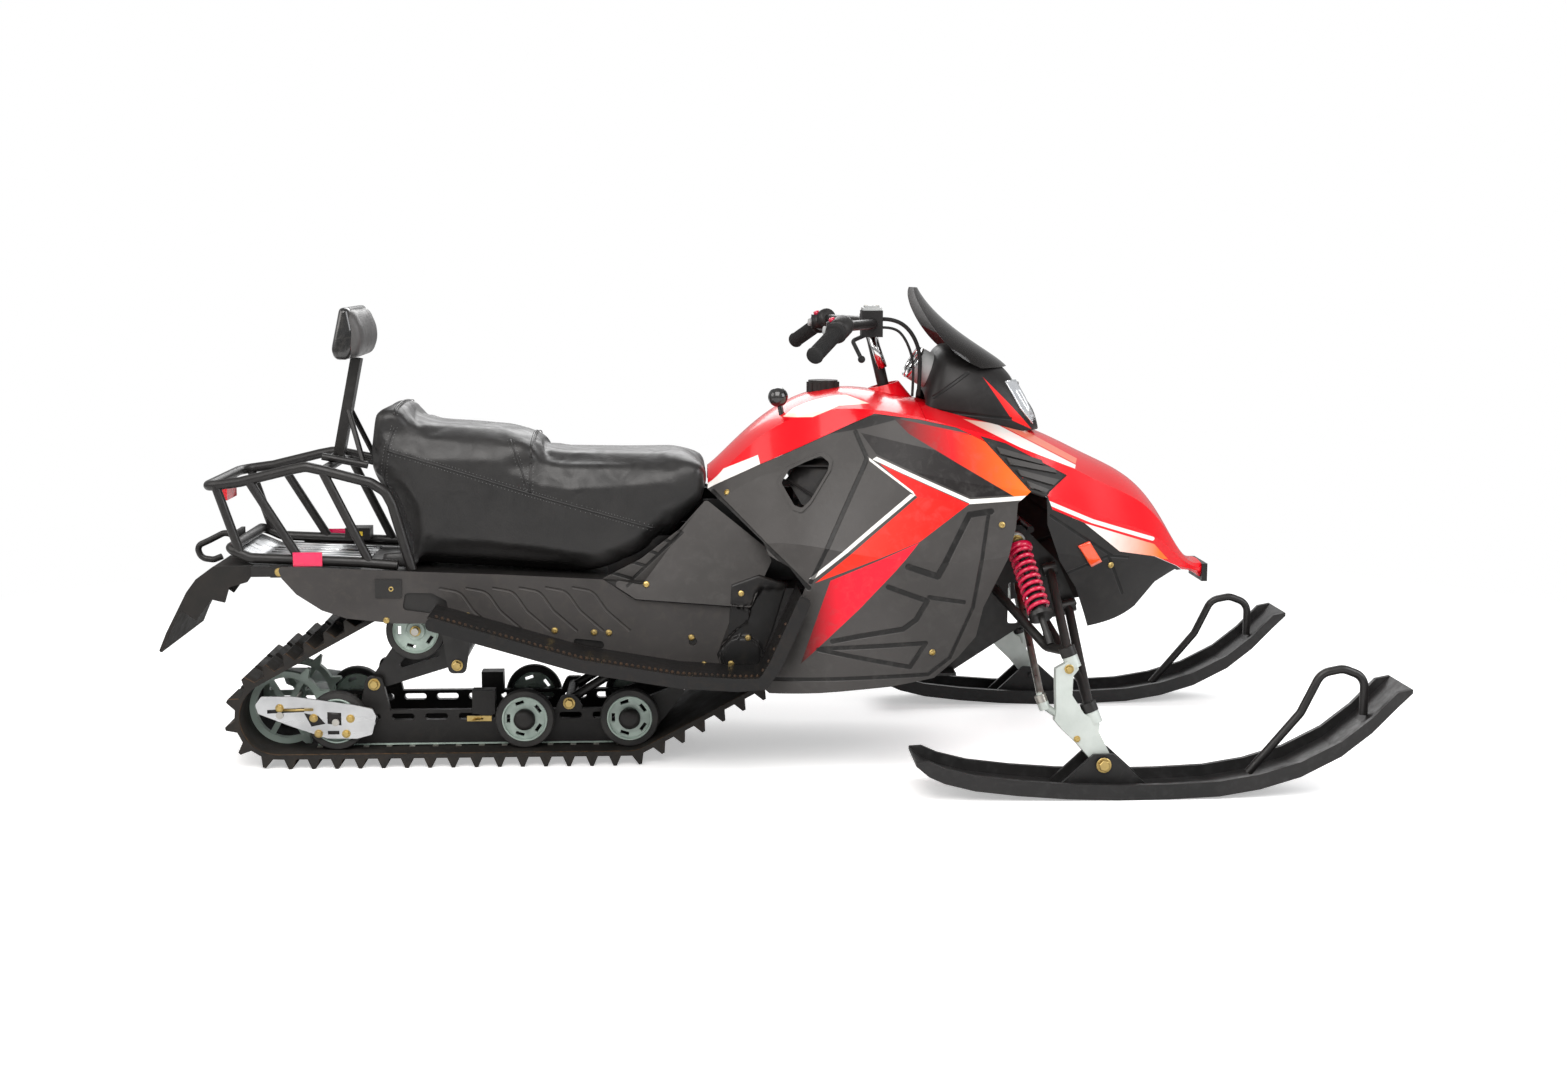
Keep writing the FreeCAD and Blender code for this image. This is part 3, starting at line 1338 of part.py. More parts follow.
def drive_axle():
    """Shaft through the tunnel walls, its bearing flanges and the driving wheels."""
    outer = tunnel_outer_half + fit_gap
    shaft = cross_rod(sprocket_x, sprocket_z, drive_shaft_radius, -outer - flange_thickness / 2,
                      outer + flange_thickness / 2)
    flanges = [cross_rod(sprocket_x, sprocket_z, flange_radius, side * outer,
                         side * (outer + flange_thickness)) for side in (-1, 1)]
    wheels = [toothed_wheel(sprocket_x, side * toothed_half, sprocket_z, sprocket_radius,
                            drive_tooth_count, drive_shaft_radius - fit_gap) for side in (-1, 1)]
    return merged([shaft] + flanges + wheels)


def rear_suspension_arm():
    """Triangulated arm from the rails up to the tunnel hangers and the carrier wheels."""
    foot = (arm_foot_x, arm_foot_z)
    hanger = (arm_hanger_x, arm_hanger_z)
    carrier = (carrier_x, carrier_z)
    r = arm_pivot_radius
    outline = [(foot[0] - r * 1.4, foot[1]), (foot[0], foot[1] - r * 1.4), (hanger[0], hanger[1] - r * 1.4),
               (hanger[0] + r * 1.4, hanger[1]), (hanger[0], hanger[1] + r * 1.4),
               (carrier[0] + r * 1.6, carrier[1] + r), (carrier[0] - r * 1.2, carrier[1] + r * 1.4)]
    middle = (sum(x for x, z in (foot, hanger, carrier)) / 3, sum(z for x, z in (foot, hanger, carrier)) / 3)
    window = [(along(middle[0], x, 0.55), along(middle[1], z, 0.55)) for x, z in (foot, hanger, carrier)]
    plates = []
    for side in (-1, 1):
        near = side * arm_plate_half
        far = side * (arm_plate_half + arm_plate)
        plate = slab(outline, near, far, r).cut(slab(window, near * 0.9, far * 1.1, r / 2))
        plates.append(plate)
    wall = tunnel_inner_half - fit_gap
    rail_face = rail_half - rail_thickness / 2 - fit_gap
    tubes = [cross_rod(foot[0], foot[1], r, -rail_face, rail_face),
             cross_rod(hanger[0], hanger[1], r, -wall, wall)]
    whole = merged(plates + tubes)
    bore = cross_rod(carrier[0], carrier[1], axle_radius + fit_gap, -wall, wall)
    return whole.cut(bore)


def front_suspension_arm():
    wall = tunnel_inner_half - fit_gap
    rail_face = rail_half - rail_thickness / 2 - fit_gap
    tubes = [cross_rod(front_arm_foot_x, front_arm_foot_z, arm_pivot_radius, -rail_face, rail_face),
             cross_rod(front_arm_top_x, front_arm_top_z, arm_pivot_radius, -wall, wall)]
    for side in (-1, 1):
        tubes.append(rod(V(front_arm_foot_x, side * front_arm_half, front_arm_foot_z),
                         V(front_arm_top_x, side * front_arm_half, front_arm_top_z), arm_tube_radius))
    return merged(tubes)


# Rear rack, backrest frame, flap and hitch

def deck_top(x):
    return tunnel_top(x) + fit_gap + deck_sheet


def rack_deck():
    places = [(deck_rear_x, deck_top(deck_rear_x) + deck_lift),
              (deck_rear_x + deck_lift * 2.5, deck_top(deck_rear_x + deck_lift * 2.5)),
              (deck_front_x, deck_top(deck_front_x))]
    return strip(places, deck_sheet, -deck_half, deck_half, deck_lift)


def rack_frame_line(side):
    places = side_places(rack_rail_shares, rack_rear_x, rack_length, rack_base_z, rack_height)
    return [V(x, side * rack_half, z) for x, z in places]


def rear_rack():
    """Upper and lower tube hoops with slanted posts between them."""
    near = rack_frame_line(-1)
    far = rack_frame_line(1)
    upper = tube(near[::-1] + far, rack_tube_radius, rack_corner)
    lift = (rack_tube_radius + fit_gap) * 1.12
    rear_z = deck_top(deck_rear_x) + deck_lift + lift
    knee_x = deck_rear_x + deck_lift * 2.5
    front_x = rack_rear_x + rack_length * 0.93
    line = [(front_x, tunnel_top(front_x) + lift), (deck_front_x, deck_top(deck_front_x) + lift),
            (knee_x, deck_top(knee_x) + lift), (deck_rear_x, rear_z)]
    lower_near = [V(x, -rack_half, z) for x, z in line]
    lower_far = [V(x, rack_half, z) for x, z in line[::-1]]
    lower = tube(lower_near + lower_far, rack_tube_radius, rack_corner)
    posts = []
    for top_share, rise, foot_share in rack_post_shares:
        top_x = rack_rear_x + top_share * rack_length
        foot_x = rack_rear_x + foot_share * rack_length
        foot_z = deck_top(max(foot_x, knee_x)) + lift
        if foot_x < knee_x:
            foot_z = along(foot_z, rear_z, (knee_x - foot_x) / (knee_x - deck_rear_x))
        for side in (-1, 1):
            posts.append(rod(V(top_x, side * rack_half, rack_base_z + rise * rack_height),
                             V(foot_x, side * rack_half, foot_z), rack_tube_radius * 0.9))
    bar_x = rack_rear_x + rack_post_shares[2][0] * rack_length
    bar_z = rack_base_z + rack_post_shares[2][1] * rack_height
    cross = cross_rod(bar_x, bar_z, rack_tube_radius * 0.9, -rack_half, rack_half)
    whole = upper.fuse(cross)
    for post in posts:
        whole = whole.fuse(post)
    whole = whole.fuse(lower)
    under = [(x, tunnel_top(x) + fit_gap) for x in (tunnel_rear_x, 0)]
    return whole.cut(slab(under + [(0, 0), (tunnel_rear_x, 0)], -body_half_width, body_half_width))


def backrest_frame():
    """Flat post on two base bars over the rack, with a stay down to their front ends."""
    bar_x = rack_rear_x + rack_post_shares[2][0] * rack_length
    bar_z = rack_base_z + rack_post_shares[2][1] * rack_height
    slope = backrest_bar_slope
    lift = (rack_tube_radius * 0.9 + backrest_bar_radius + fit_gap) * math.sqrt(1 + slope * slope)
    rear_x = bar_x - backrest_bar_radius * 2
    front_x = bar_x + rack_length * 0.19
    bars = []
    for side in (-1, 1):
        y = side * backrest_bar_half
        bars.append(rod(V(rear_x, y, bar_z + lift + slope * (rear_x - bar_x)),
                        V(front_x, y, bar_z + lift + slope * (front_x - bar_x)), backrest_bar_radius))
    cross_z = bar_z + lift
    cross = cross_rod(bar_x, cross_z, backrest_bar_radius * 0.8, -backrest_bar_half, backrest_bar_half)
    top = V(backrest_rear_x + backrest_depth / 2, 0, backrest_base_z - fit_gap)
    foot = V(bar_x + backrest_bar_radius, 0, cross_z)
    post = Part.makeBox(post_half_depth * 2, post_half_width * 2, (top - foot).Length,
                        V(-post_half_depth, -post_half_width, 0))
    post.Placement = FreeCAD.Placement(foot, FreeCAD.Rotation(V(0, 0, 1), top - foot))
    trim = box(rear_x - rack_length, front_x, -rack_half, rack_half, backrest_base_z - fit_gap,
               backrest_base_z + backrest_height)
    knee = V(along(foot.x, top.x, 0.5), 0, along(foot.z, top.z, 0.5))
    stays = [rod(V(knee.x, side * post_half_width / 2, knee.z),
                 V(front_x - backrest_bar_radius, side * backrest_bar_half,
                   bar_z + lift + slope * (front_x - bar_x)), stay_radius) for side in (-1, 1)]
    whole = post.cut(trim).fuse(cross)
    for piece in bars + stays:
        whole = whole.fuse(piece)
    return whole


def snow_flap():
    rise = tunnel_rear_z - fit_gap - flap_base_z
    top = side_places(flap_top_shares, flap_rear_x, flap_length, flap_base_z, rise)
    sheet = strip(top[::-1], flap_sheet, -flap_half, flap_half, flap_sheet * 2)
    cheek = side_places(flap_cheek_shares, flap_rear_x, flap_length, flap_base_z, rise)
    cheeks = [slab(cheek, side * flap_half, side * (flap_half - flap_sheet)) for side in (-1, 1)]
    return merged([sheet] + cheeks)


def tow_hitch():
    """A plate behind the deck with a bent hook."""
    front = deck_rear_x - rack_tube_radius - fit_gap
    base = deck_top(deck_rear_x)
    plate = box(front - hitch_plate, front, -hitch_half, hitch_half, base, base + hitch_height)
    start_x = front - hitch_plate - hook_length
    start_z = base + hitch_height - hook_height - hook_radius
    points = [V(x, 0, z) for x, z in side_places(hook_shares, start_x, hook_length, start_z, hook_height)]
    hook = tube([V(front - hitch_plate / 2, 0, points[0].z)] + points, hook_radius, hook_radius * 3)
    return merged([plate, hook])


def lamps():
    """Tail lamp under the rear cross tube."""
    rear = rack_rear_x
    top = rack_base_z + rack_rail_shares[0][1] * rack_height - rack_tube_radius - fit_gap
    return box(rear - lamp_depth / 2, rear + lamp_depth, -lamp_half_width, lamp_half_width,
               top - lamp_height, top)


def reflectors():
    inner = rack_half + rack_tube_radius + fit_gap
    rear_x = along(deck_rear_x, deck_front_x, 0.5)
    base = deck_top(rear_x) + fit_gap
    plate = box(rear_x, rear_x + reflector_length, -inner - reflector_plate, -inner, base,
                base + reflector_height)
    return both_sides(plate)


# Frame and engine

def front_bulkhead():
    """Welded plates that carry the engine, the arms, the shock tops and the post's foot bearing."""
    rear = frame_rear_x
    pan_z = body_base_z + frame_plate * 3
    margin = pivot_bush_radius * 1.6
    outline = [(rear, pan_z), (rear, pan_z + engine_height), (engine_x, pan_z + engine_height / 3),
               (upper_pivot_rear_x - margin * 2, pan_z + engine_height / 3),
               (upper_pivot_rear_x - margin, shock_top_z), (shock_top_x, shock_top_z + margin),
               (shock_top_x + margin, shock_top_z + margin),
               (upper_pivot_front_x + margin, upper_pivot_front_z + margin / 2),
               (lower_pivot_front_x + margin, lower_pivot_front_z),
               (lower_pivot_front_x, lower_pivot_front_z - margin),
               (lower_pivot_rear_x - margin, lower_pivot_rear_z - margin),
               (engine_x + engine_length * 0.7, pan_z)]
    window = [(tie_window_x - tie_window_length / 2, tie_window_z - tie_window_height / 2),
              (tie_window_x + tie_window_length / 2, tie_window_z - tie_window_height / 2),
              (tie_window_x + tie_window_length / 2, tie_window_z + tie_window_height / 2),
              (tie_window_x - tie_window_length / 2, tie_window_z + tie_window_height / 2)]
    reach = frame_half + frame_plate
    sides = slab(outline, -reach, reach, frame_plate)
    sides = sides.cut(slab(outline, -frame_half, frame_half, frame_plate).cut(
        box(rear, rear + frame_plate, -reach, reach, 0, pan_z + engine_height * 2)))
    sides = sides.cut(slab(window, -reach * 2, reach * 2, frame_plate))
    pan = box(rear, engine_x + engine_length * 0.7, -pan_half, pan_half, pan_z, pan_z + frame_plate)
    mount = cross_rod(shock_top_x, shock_top_z, shock_mount_radius, -shock_top_half - shock_mount_radius,
                      shock_top_half + shock_mount_radius)
    up = column_direction()
    ahead = V(up.z, 0, -up.x)
    bearing = V(column_foot_x, 0, column_foot_z) + up * column_radius * 4
    collar = rod(bearing - up * column_radius, bearing + up * column_radius, column_radius * 2)
    brace = bearing + ahead * column_radius * 1.6
    rest = cross_rod(brace.x, brace.z, column_radius * 0.7, -frame_half - fit_gap, frame_half + fit_gap)
    pivots = []
    for side in (-1, 1):
        for place in (V(lower_pivot_front_x, lower_pivot_half, lower_pivot_front_z),
                      V(lower_pivot_rear_x, lower_pivot_half, lower_pivot_rear_z),
                      V(upper_pivot_front_x, upper_pivot_half, upper_pivot_front_z),
                      V(upper_pivot_rear_x, upper_pivot_half, upper_pivot_rear_z)):
            pivots.append(cross_rod(place.x, place.z, pivot_bush_radius * 0.8, side * frame_half,
                                    side * (place.y - pivot_bush_radius - fit_gap)))
    whole = merged([sides, pan, mount, collar, rest] + pivots)
    return whole.cut(rod(bearing - up * column_radius * 3, bearing + up * column_radius * 3,
                         column_radius + pin_clearance))


def engine_block():
    pan_z = body_base_z + frame_plate * 4 + fit_gap
    half = engine_length / 2
    return box(engine_x - half, engine_x + half, -engine_half_width, engine_half_width, pan_z,
               pan_z + engine_height)


# Small fittings

def fuel_cap():
    body = rod(V(cap_x, 0, cap_top_z - cap_height * 2), V(cap_x, 0, cap_top_z), cap_radius)
    ribs = []
    for index in range(cap_rib_count):
        angle = 2 * math.pi * index / cap_rib_count
        x = cap_x + cap_radius * math.cos(angle)
        y = cap_radius * math.sin(angle)
        ribs.append(rod(V(x, y, cap_top_z - cap_height * 2), V(x, y, cap_top_z - cap_rib_radius),
                        cap_rib_radius))
    return largest(merged([body] + ribs).cut(body_loft(-fit_gap, 0.0, 0.0, fit_gap)))


def gear_lever():
    ball = Part.makeSphere(knob_radius, V(knob_x, -knob_half, knob_z))
    stem = rod(V(knob_x + knob_radius, -knob_half, body_base_z + body_height * 0.8),
               V(knob_x, -knob_half, knob_z), knob_stem_radius)
    return largest(merged([ball, stem]).cut(body_loft(-fit_gap, 0.0, 0.0, fit_gap)))


def neck_collar():
    """The raised cone round the steering post."""
    up = riser_direction()
    foot = V(neck_x, 0, neck_z) - up * collar_height
    return Part.makeCone(collar_foot_radius, collar_radius, collar_height * 1.2, foot, up)


def neck_bore():
    up = riser_direction()
    foot = V(neck_x, 0, neck_z) - up * collar_height * 2
    return rod(foot, foot + up * collar_height * 4, collar_bore)


def control_cables():
    """Brake and throttle cables from the bar down to the hood."""
    cables = []
    start = V(clamp_x + block_length / 2 + fit_gap, -block_side, clamp_z)
    skin = body_loft(-fit_gap, 0.0, 0.0, fit_gap)
    brake = (brake_cable_radius, brake_cable_side, brake_cable_drop, brake_cable_reach)
    throttle = (throttle_cable_radius, throttle_cable_side, throttle_cable_drop, throttle_cable_reach)
    for radius, y, drop, reach in (brake, throttle):
        points = [start + V(0, y, drop), start + V(cable_lead, y, drop)]
        points += [start + V(reach * ahead, y, drop - cable_fall * fall) for ahead, fall in cable_shares]
        cables.append(largest(tube(points, radius, radius * 10).cut(skin)))
        print("cable bend radius", radius * 10)
    return cables


def save(name, shapes):
    """Write one sub-part as a file of its solids."""
    if not isinstance(shapes, list):
        shapes = [shapes]
    solids = [solid for shape in shapes for solid in shape.Solids]
    whole = solids[0] if len(solids) == 1 else Part.makeCompound(solids)
    whole.exportStep("parts/" + name + ".step")
    print(name, len(solids), all(solid.isValid() for solid in solids), round(whole.Volume / 1e6, 3))


def main():
    os.makedirs("parts", exist_ok=True)
    shell = body_shell()
    hood_solid = largest(hood(shell))
    cowl, lens = cowl_parts()
    save("track", track())
    save("tunnel", tunnel())
    save("side_skirts", side_skirts())
    save("running_boards", running_boards())
    save("tank_cover", tank_cover(shell))
    save("hood", hood_solid)
    save("side_panels", side_panels(shell))
    save("nose_panel", nose_panel(shell))
    save("seat_side_covers", seat_side_covers())
    save("front_bumper", front_bumper())
    save("seat", seat())
    save("backrest_pad", backrest_pad())
    save("cowl", cowl)
    save("headlight", lens)
    save("windshield", windshield())
    save("instrument_pod", instrument_pod())
    save("steering_column", steering_column())
    save("handlebar", handlebar())
    save("hand_controls", hand_controls())
    save("suspension_links", suspension_arms())
    save("shock_absorbers", shock_absorbers())
    save("coil_springs", coil_springs())
    save("slide_rails", slide_rails())
    save("bogie_wheels", bogie_wheels())
    save("wheel_axles", wheel_axles())
    save("rear_sprockets", rear_sprockets())
    save("drive_axle", drive_axle())
    save("tensioner_plates", tensioner_plates())
    save("rear_suspension_arm", rear_suspension_arm())
    save("front_suspension_arm", front_suspension_arm())
    save("rack_deck", rack_deck())
    save("rear_rack", rear_rack())
    save("backrest_frame", backrest_frame())
    save("snow_flap", snow_flap())
    save("tow_hitch", tow_hitch())
    save("tail_lamp", lamps())
    save("reflectors", reflectors())
    save("front_bulkhead", front_bulkhead())
    save("engine_block", engine_block())
    save("fuel_cap", fuel_cap())
    save("gear_lever", gear_lever())
    save("control_cables", control_cables())
    for name, side in (("right", -1), ("left", 1)):
        save("spindle_" + name, spindle(side))
        save("tie_rod_" + name, tie_rod(side))
        save("ski_" + name, ski(side))
        save("ski_loop_" + name, ski_loop(side))


main()
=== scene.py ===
import json
import math

import bmesh
import bpy
from bpy.props import BoolProperty, FloatProperty, IntProperty, PointerProperty
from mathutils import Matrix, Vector
from mathutils.bvhtree import BVHTree


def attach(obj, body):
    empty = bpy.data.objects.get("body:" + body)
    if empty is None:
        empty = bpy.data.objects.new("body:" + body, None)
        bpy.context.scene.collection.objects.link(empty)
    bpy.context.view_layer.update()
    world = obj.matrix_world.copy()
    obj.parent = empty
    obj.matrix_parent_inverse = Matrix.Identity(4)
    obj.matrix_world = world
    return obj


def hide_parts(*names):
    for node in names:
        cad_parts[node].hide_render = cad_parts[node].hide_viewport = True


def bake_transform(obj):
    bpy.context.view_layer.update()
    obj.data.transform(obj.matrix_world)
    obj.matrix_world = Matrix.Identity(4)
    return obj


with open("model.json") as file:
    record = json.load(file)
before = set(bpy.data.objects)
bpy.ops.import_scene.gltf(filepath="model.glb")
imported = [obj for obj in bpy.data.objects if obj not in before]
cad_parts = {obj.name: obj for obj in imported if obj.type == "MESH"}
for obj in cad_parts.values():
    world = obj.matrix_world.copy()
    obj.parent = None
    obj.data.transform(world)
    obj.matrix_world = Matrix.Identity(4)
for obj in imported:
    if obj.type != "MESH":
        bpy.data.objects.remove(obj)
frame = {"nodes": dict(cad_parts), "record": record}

bl_info = {
    "name": "Utility snowmobile",
    "version": (1, 0, 0),
    "blender": (4, 5, 0),
    "location": "3D View > Sidebar > Snowmobile",
    "description": "Finishes and dresses a compact two-up snowmobile",
    "category": "Object",
}


def mm(*places):
    """Places given in millimetres, in metres."""
    return tuple(tuple(part / 1000 for part in place) for place in places)


SIDES = (-1, 1)
# Outlines in side view that the mouldings are printed or cut with; among them are painted highlight and painted
# shade
# TANK_GLINT and TANK_GLINT_FRONT are painted highlight: cream laid on the red where light gleams on the tank
TANK_GLINT = mm((44, 761), (105, 806), (160, 810), (165, 788), (108, 764))
TANK_GLINT_FRONT = mm((105, 806), (178, 811), (233, 793), (165, 788))
SEAT_STRIPE = mm((-121, 600), (-4, 656), (-10, 682), (-121, 630))
Z_UPPER = mm((217, 690), (223, 678), (318, 607), (312, 618))
Z_LOWER = mm((318, 611), (306, 613), (92, 432), (102, 430))
Z_TOP = mm((228, 682), (433, 591), (433, 601), (238, 688))
Z_FRONT = mm((430, 590), (575, 597), (575, 607), (430, 601))
FLASH_HIGH = mm((241, 676), (320, 606), (433, 590))
FLASH_LOW = mm((321, 607), (103, 422), (325, 513), (433, 592))
WEDGE_LOW = mm((137, 430), (325, 513), (273, 450), (197, 367), (117, 289), (73, 246))
WEDGE_TOP_REAR = mm((274, 768), (308, 734), (400, 679), (440, 734))
WEDGE_TOP_FRONT = mm((387, 740), (400, 679), (530, 603), (576, 607), (468, 727))
HOOD_STRIPE = mm((385, 768), (468, 735), (565, 695), (667, 645), (682, 659), (512, 746))
HOOD_EDGE = mm((512, 747), (682, 660), (694, 668), (560, 740))
NOSE_LINE = ((0.0040, mm((597, 592), (710, 542), (860, 492))),)
NOSE_WEDGE = mm((686, 541), (752, 487), (794, 459), (905, 440), (865, 480))
LOUVRE_FIELD = mm((462, 728), (566, 612), (594, 602), (652, 641), (517, 712))
LOUVRE_BLADES = (mm((494, 704), (592, 674), (597, 664), (502, 690)),
                 mm((514, 682), (620, 656), (626, 646), (522, 668)),
                 mm((535, 658), (630, 632), (616, 622), (543, 645)),
                 mm((554, 634), (604, 614), (594, 605), (562, 620)))
PANEL_ARCH = mm((70, 706), (215, 768), (277, 777), (330, 766), (215, 744))
PANEL_FIELD = mm((206, 736), (372, 700), (560, 609), (433, 604), (237, 692))
# A dark patch of painted shade for the recess by the gearcase
RECESS_SHADE = mm((-70, 404), (-10, 425), (52, 405), (20, 300), (-12, 216), (-90, 212), (-102, 250), (-75, 320))
FRONT_REFLECTOR = mm((678, 489), (712, 440), (736, 451), (704, 498))
VENT_RIM = mm((50, 633), (70, 662), (108, 681), (143, 696), (156, 684), (152, 666), (112, 599), (94, 578),
    (80, 584))
# Pressed lines of the flanks, each a half width and its run in side view, darkened with painted shade
PANEL_LINES = ((0.0058, mm((478, 574), (431, 568), (363, 439), (300, 461))),
               (0.0046, mm((259, 417), (342, 386), (319, 345), (292, 325), (197, 310), (142, 299))),
               (0.0038, mm((118, 283), (341, 293), (308, 241), (112, 281))),
               (0.0036, mm((346, 394), (422, 380))),
               (0.0032, mm((10, 214), (348, 223), (395, 258), (443, 368), (472, 566))),
               (0.0034, mm((197, 737), (218, 684), (96, 424))), (0.0040, mm((-108, 598), (49, 454), (92, 412))))
SIDE_LINES = ((0.0022, mm((-354, 414), (-205, 528))), (0.0022, mm((-295, 402), (-176, 515))),
              (0.0026, mm((-336, 428), (-284, 412))), (0.0026, mm((-301, 455), (-255, 440))),
              (0.0026, mm((-266, 482), (-228, 466))), (0.0026, mm((-233, 507), (-200, 492))),
              (0.0020, mm((-205, 528), (-176, 515))))
NOSE_LINES = ((0.0024, mm((648, 425), (752, 462), (794, 372))), (0.0020, mm((752, 462), (800, 455))),
              (0.0020, mm((610, 560), (700, 500), (760, 462))))
COWL_WEDGE = mm((473, 862), (543, 788), (588, 743), (600, 728), (548, 752))
LAMP_WING = mm((534, 836), (560, 838), (582, 800), (604, 755), (597, 742), (566, 778))
LAMP_TRAY = mm((582, 752), (531, 846), (527, 844), (578, 750))
COWL_FOLDS = ((0.0022, mm((377, 803), (451, 856))), (0.0020, mm((372, 775), (545, 757))))
WHEEL_PLACES = mm((-295, 97), (-526, 97), (-937, 97), (-760, 297))
WHEEL_TYRE_RADIUS = 0.050
BRAKE_ROUTE = ((0.2663, -0.084, 0.972), (0.2923, -0.084, 0.972), (0.3268, -0.084, 0.950),
               (0.3486, -0.084, 0.906), (0.3503, -0.084, 0.860), (0.3469, -0.084, 0.802))
THROTTLE_ROUTE = ((0.2663, -0.094, 0.954), (0.2923, -0.094, 0.954), (0.3153, -0.094, 0.932),
                  (0.3329, -0.094, 0.888), (0.3343, -0.094, 0.842), (0.3320, -0.094, 0.803))
SEAT_LINE = mm((-838, 458), (-358, 424), (-268, 462), (-182, 528), (-125, 588), (-122, 646), (-131, 660),
    (-158, 669), (-307, 668), (-436, 670), (-479, 680), (-500, 704), (-524, 717), (-627, 726), (-732, 733),
    (-769, 750), (-787, 779), (-815, 784), (-842, 774), (-849, 650), (-830, 626), (-799, 585), (-769, 497),
    (-762, 440))
SEAT_SEAMS = (mm((-795, 744), (-811, 694), (-820, 635), (-812, 588)),
              mm((-811, 694), (-686, 656), (-506, 599), (-367, 558), (-236, 520)),
              mm((-548, 714), (-536, 685), (-505, 600)), mm((-505, 600), (-503, 668)))
PAD_LINE = mm((-926, 908), (-920, 890), (-874, 890), (-861, 926), (-863, 955), (-880, 993), (-905, 995))
# Screw and bolt heads in side view
PANEL_SCREWS = mm((-78, 599), (-49, 385), (-254, 406), (502, 545), (356, 272), (-34, 287), (-71, 230),
    (-4, 227), (-368, 301), (-336, 300), (-600, 290), (-453, 306), (-157, 288), (-802, 400), (-814, 331),
    (-640, 340), (-250, 232), (-130, 228), (760, 440), (700, 300))
SPINDLE_BOLTS = mm((692, 68, 16), (668, 200, 11), (624, 262, 10), (640, 118, 7), (648, 240, 7))
# Bolts of the running gear: how far out, how large, and where in side view
GEAR_BOLTS = ((0.1500, 0.0095, mm((-760, 297))),
              (0.1592, 0.0075, mm((-1058, 130), (-985, 107), (-975, 72), (-915, 71), (-905, 105))),
              (0.1120, 0.0110, mm((-859, 171), (-430, 124))), (0.1992, 0.0100, mm((-665, 230), (-256, 232))))
# Side-view outlines of the backrest's shell, the strips under the seat and the tensioner plates' openings
SHELL_LINE = mm((-930, 908), (-922, 887), (-894, 887), (-884, 905), (-881, 950), (-890, 999), (-910, 999))
BASE_STRIP = mm((-352, 412), (-266, 456), (-181, 521), (-132, 576), (-128, 545), (-175, 480), (-245, 402),
    (-300, 398))
PLATE_WINDOWS = (mm((-1005, 118), (-975, 112), (-960, 94), (-990, 88)),
                 mm((-955, 120), (-925, 118), (-925, 90), (-955, 94)),
                 mm((-955, 78), (-930, 78), (-930, 70), (-955, 70)),
                 mm((-1085, 126), (-1005, 130), (-1005, 121), (-1085, 118)))
STOP_PLATE = mm((-656, 86), (-602, 86), (-602, 98), (-656, 98))
RUNNER_LINE = ((0.560, 0.0085), (0.611, 0.0042), (0.660, 0.0030), (0.717, 0.0022), (0.780, 0.0026),
               (0.822, 0.0032))
RIDERS = {"right": -1, "left": 1}
UP = Vector((0, 0, 1))
SEAT_LIMIT = 0.156  # half width that the cloth may reach
SEAT_SWELL, PAD_SWELL = 0.010, 0.006  # how far cloth pressure may carry a point
RIM_CLEARANCE = 1.35  # the skin is met this much outside the vent's rim
LID_TOP = 0.991  # where the reservoir's lid starts
DECK_FRONT, DECK_HEIGHT, DECK_SLOPE = -0.26, 0.409, -0.0477  # the tunnel's top, under the seat
RACK_SLOPE = -57.0 / 1195.0  # of the rack's deck, along X
GLOSS_LEVEL, AMBIENT_LEVEL = 0.30, 0.25  # the backdrop as glossy rays and as a light meet it
RAIL_REACH, LUG_PITCH = 0.104, 0.0508  # how far out a slide rail lies, and the track's pitch
# The running boards take the painted-shade black, darker than their own finish
NODE_FINISHES = {
    "gear_lever": "gloss_black", "rear_sprockets": "mint", "reflectors": "rack_reflector",
    "snow_flap": "flap_rubber", "shock_absorbers": "black_metal", "cowl": "cowl_black",
    "side_skirts": "skirt_black", "running_boards": "recess_black"}


def link(tree, output, socket):
    tree.links.new(output, socket)


def add(tree, kind, inputs=(), **properties):
    """Adds a node, sets its properties, then its inputs from values or sockets."""
    node = tree.nodes.new(kind)
    for name, value in properties.items():
        setattr(node, name, value)
    for key, value in dict(inputs).items():
        if isinstance(value, bpy.types.NodeSocket):
            link(tree, value, node.inputs[key])
        else:
            node.inputs[key].default_value = value
    return node


def maths(tree, operation, first, second=0.0, third=0.0, clamp=False):
    inputs = {0: first, 1: second, 2: third}
    return add(tree, "ShaderNodeMath", inputs, operation=operation, use_clamp=clamp).outputs[0]


def combined(tree, operation, values):
    """Folds several values into one, such as their smallest."""
    whole = values[0]
    for value in values[1:]:
        whole = maths(tree, operation, whole, value)
    return whole


def vector(tree, operation, first, second=None):
    """A vector node's result, which is a number for products, lengths and distances."""
    inputs = {0: first}
    if second is not None:
        inputs["Scale" if operation == "SCALE" else 1] = second
    node = add(tree, "ShaderNodeVectorMath", inputs, operation=operation)
    return node.outputs["Value" if operation in ("DOT_PRODUCT", "LENGTH", "DISTANCE") else "Vector"]


def along_axis(tree, place, axis):
    return add(tree, "ShaderNodeSeparateXYZ", {0: place}).outputs[axis]


def noise(tree, place, scale, detail=3.0, roughness=0.55, distortion=0.0):
    inputs = {"Vector": place, "Scale": scale, "Detail": detail, "Roughness": roughness,
              "Distortion": distortion}
    return add(tree, "ShaderNodeTexNoise", inputs).outputs["Fac"]


def ramp(tree, value, low=0.0, high=1.0, start=0.35, end=0.65):
    inputs = {"Value": value, "From Min": start, "From Max": end, "To Min": low, "To Max": high}
    return add(tree, "ShaderNodeMapRange", inputs).outputs["Result"]


def tint(tree, factor, *colours):
    first, second = [value if isinstance(value, bpy.types.NodeSocket) else (*value, 1.0) for value in colours]
    return add(tree, "ShaderNodeMix", {0: factor, 6: first, 7: second}, data_type="RGBA").outputs[2]


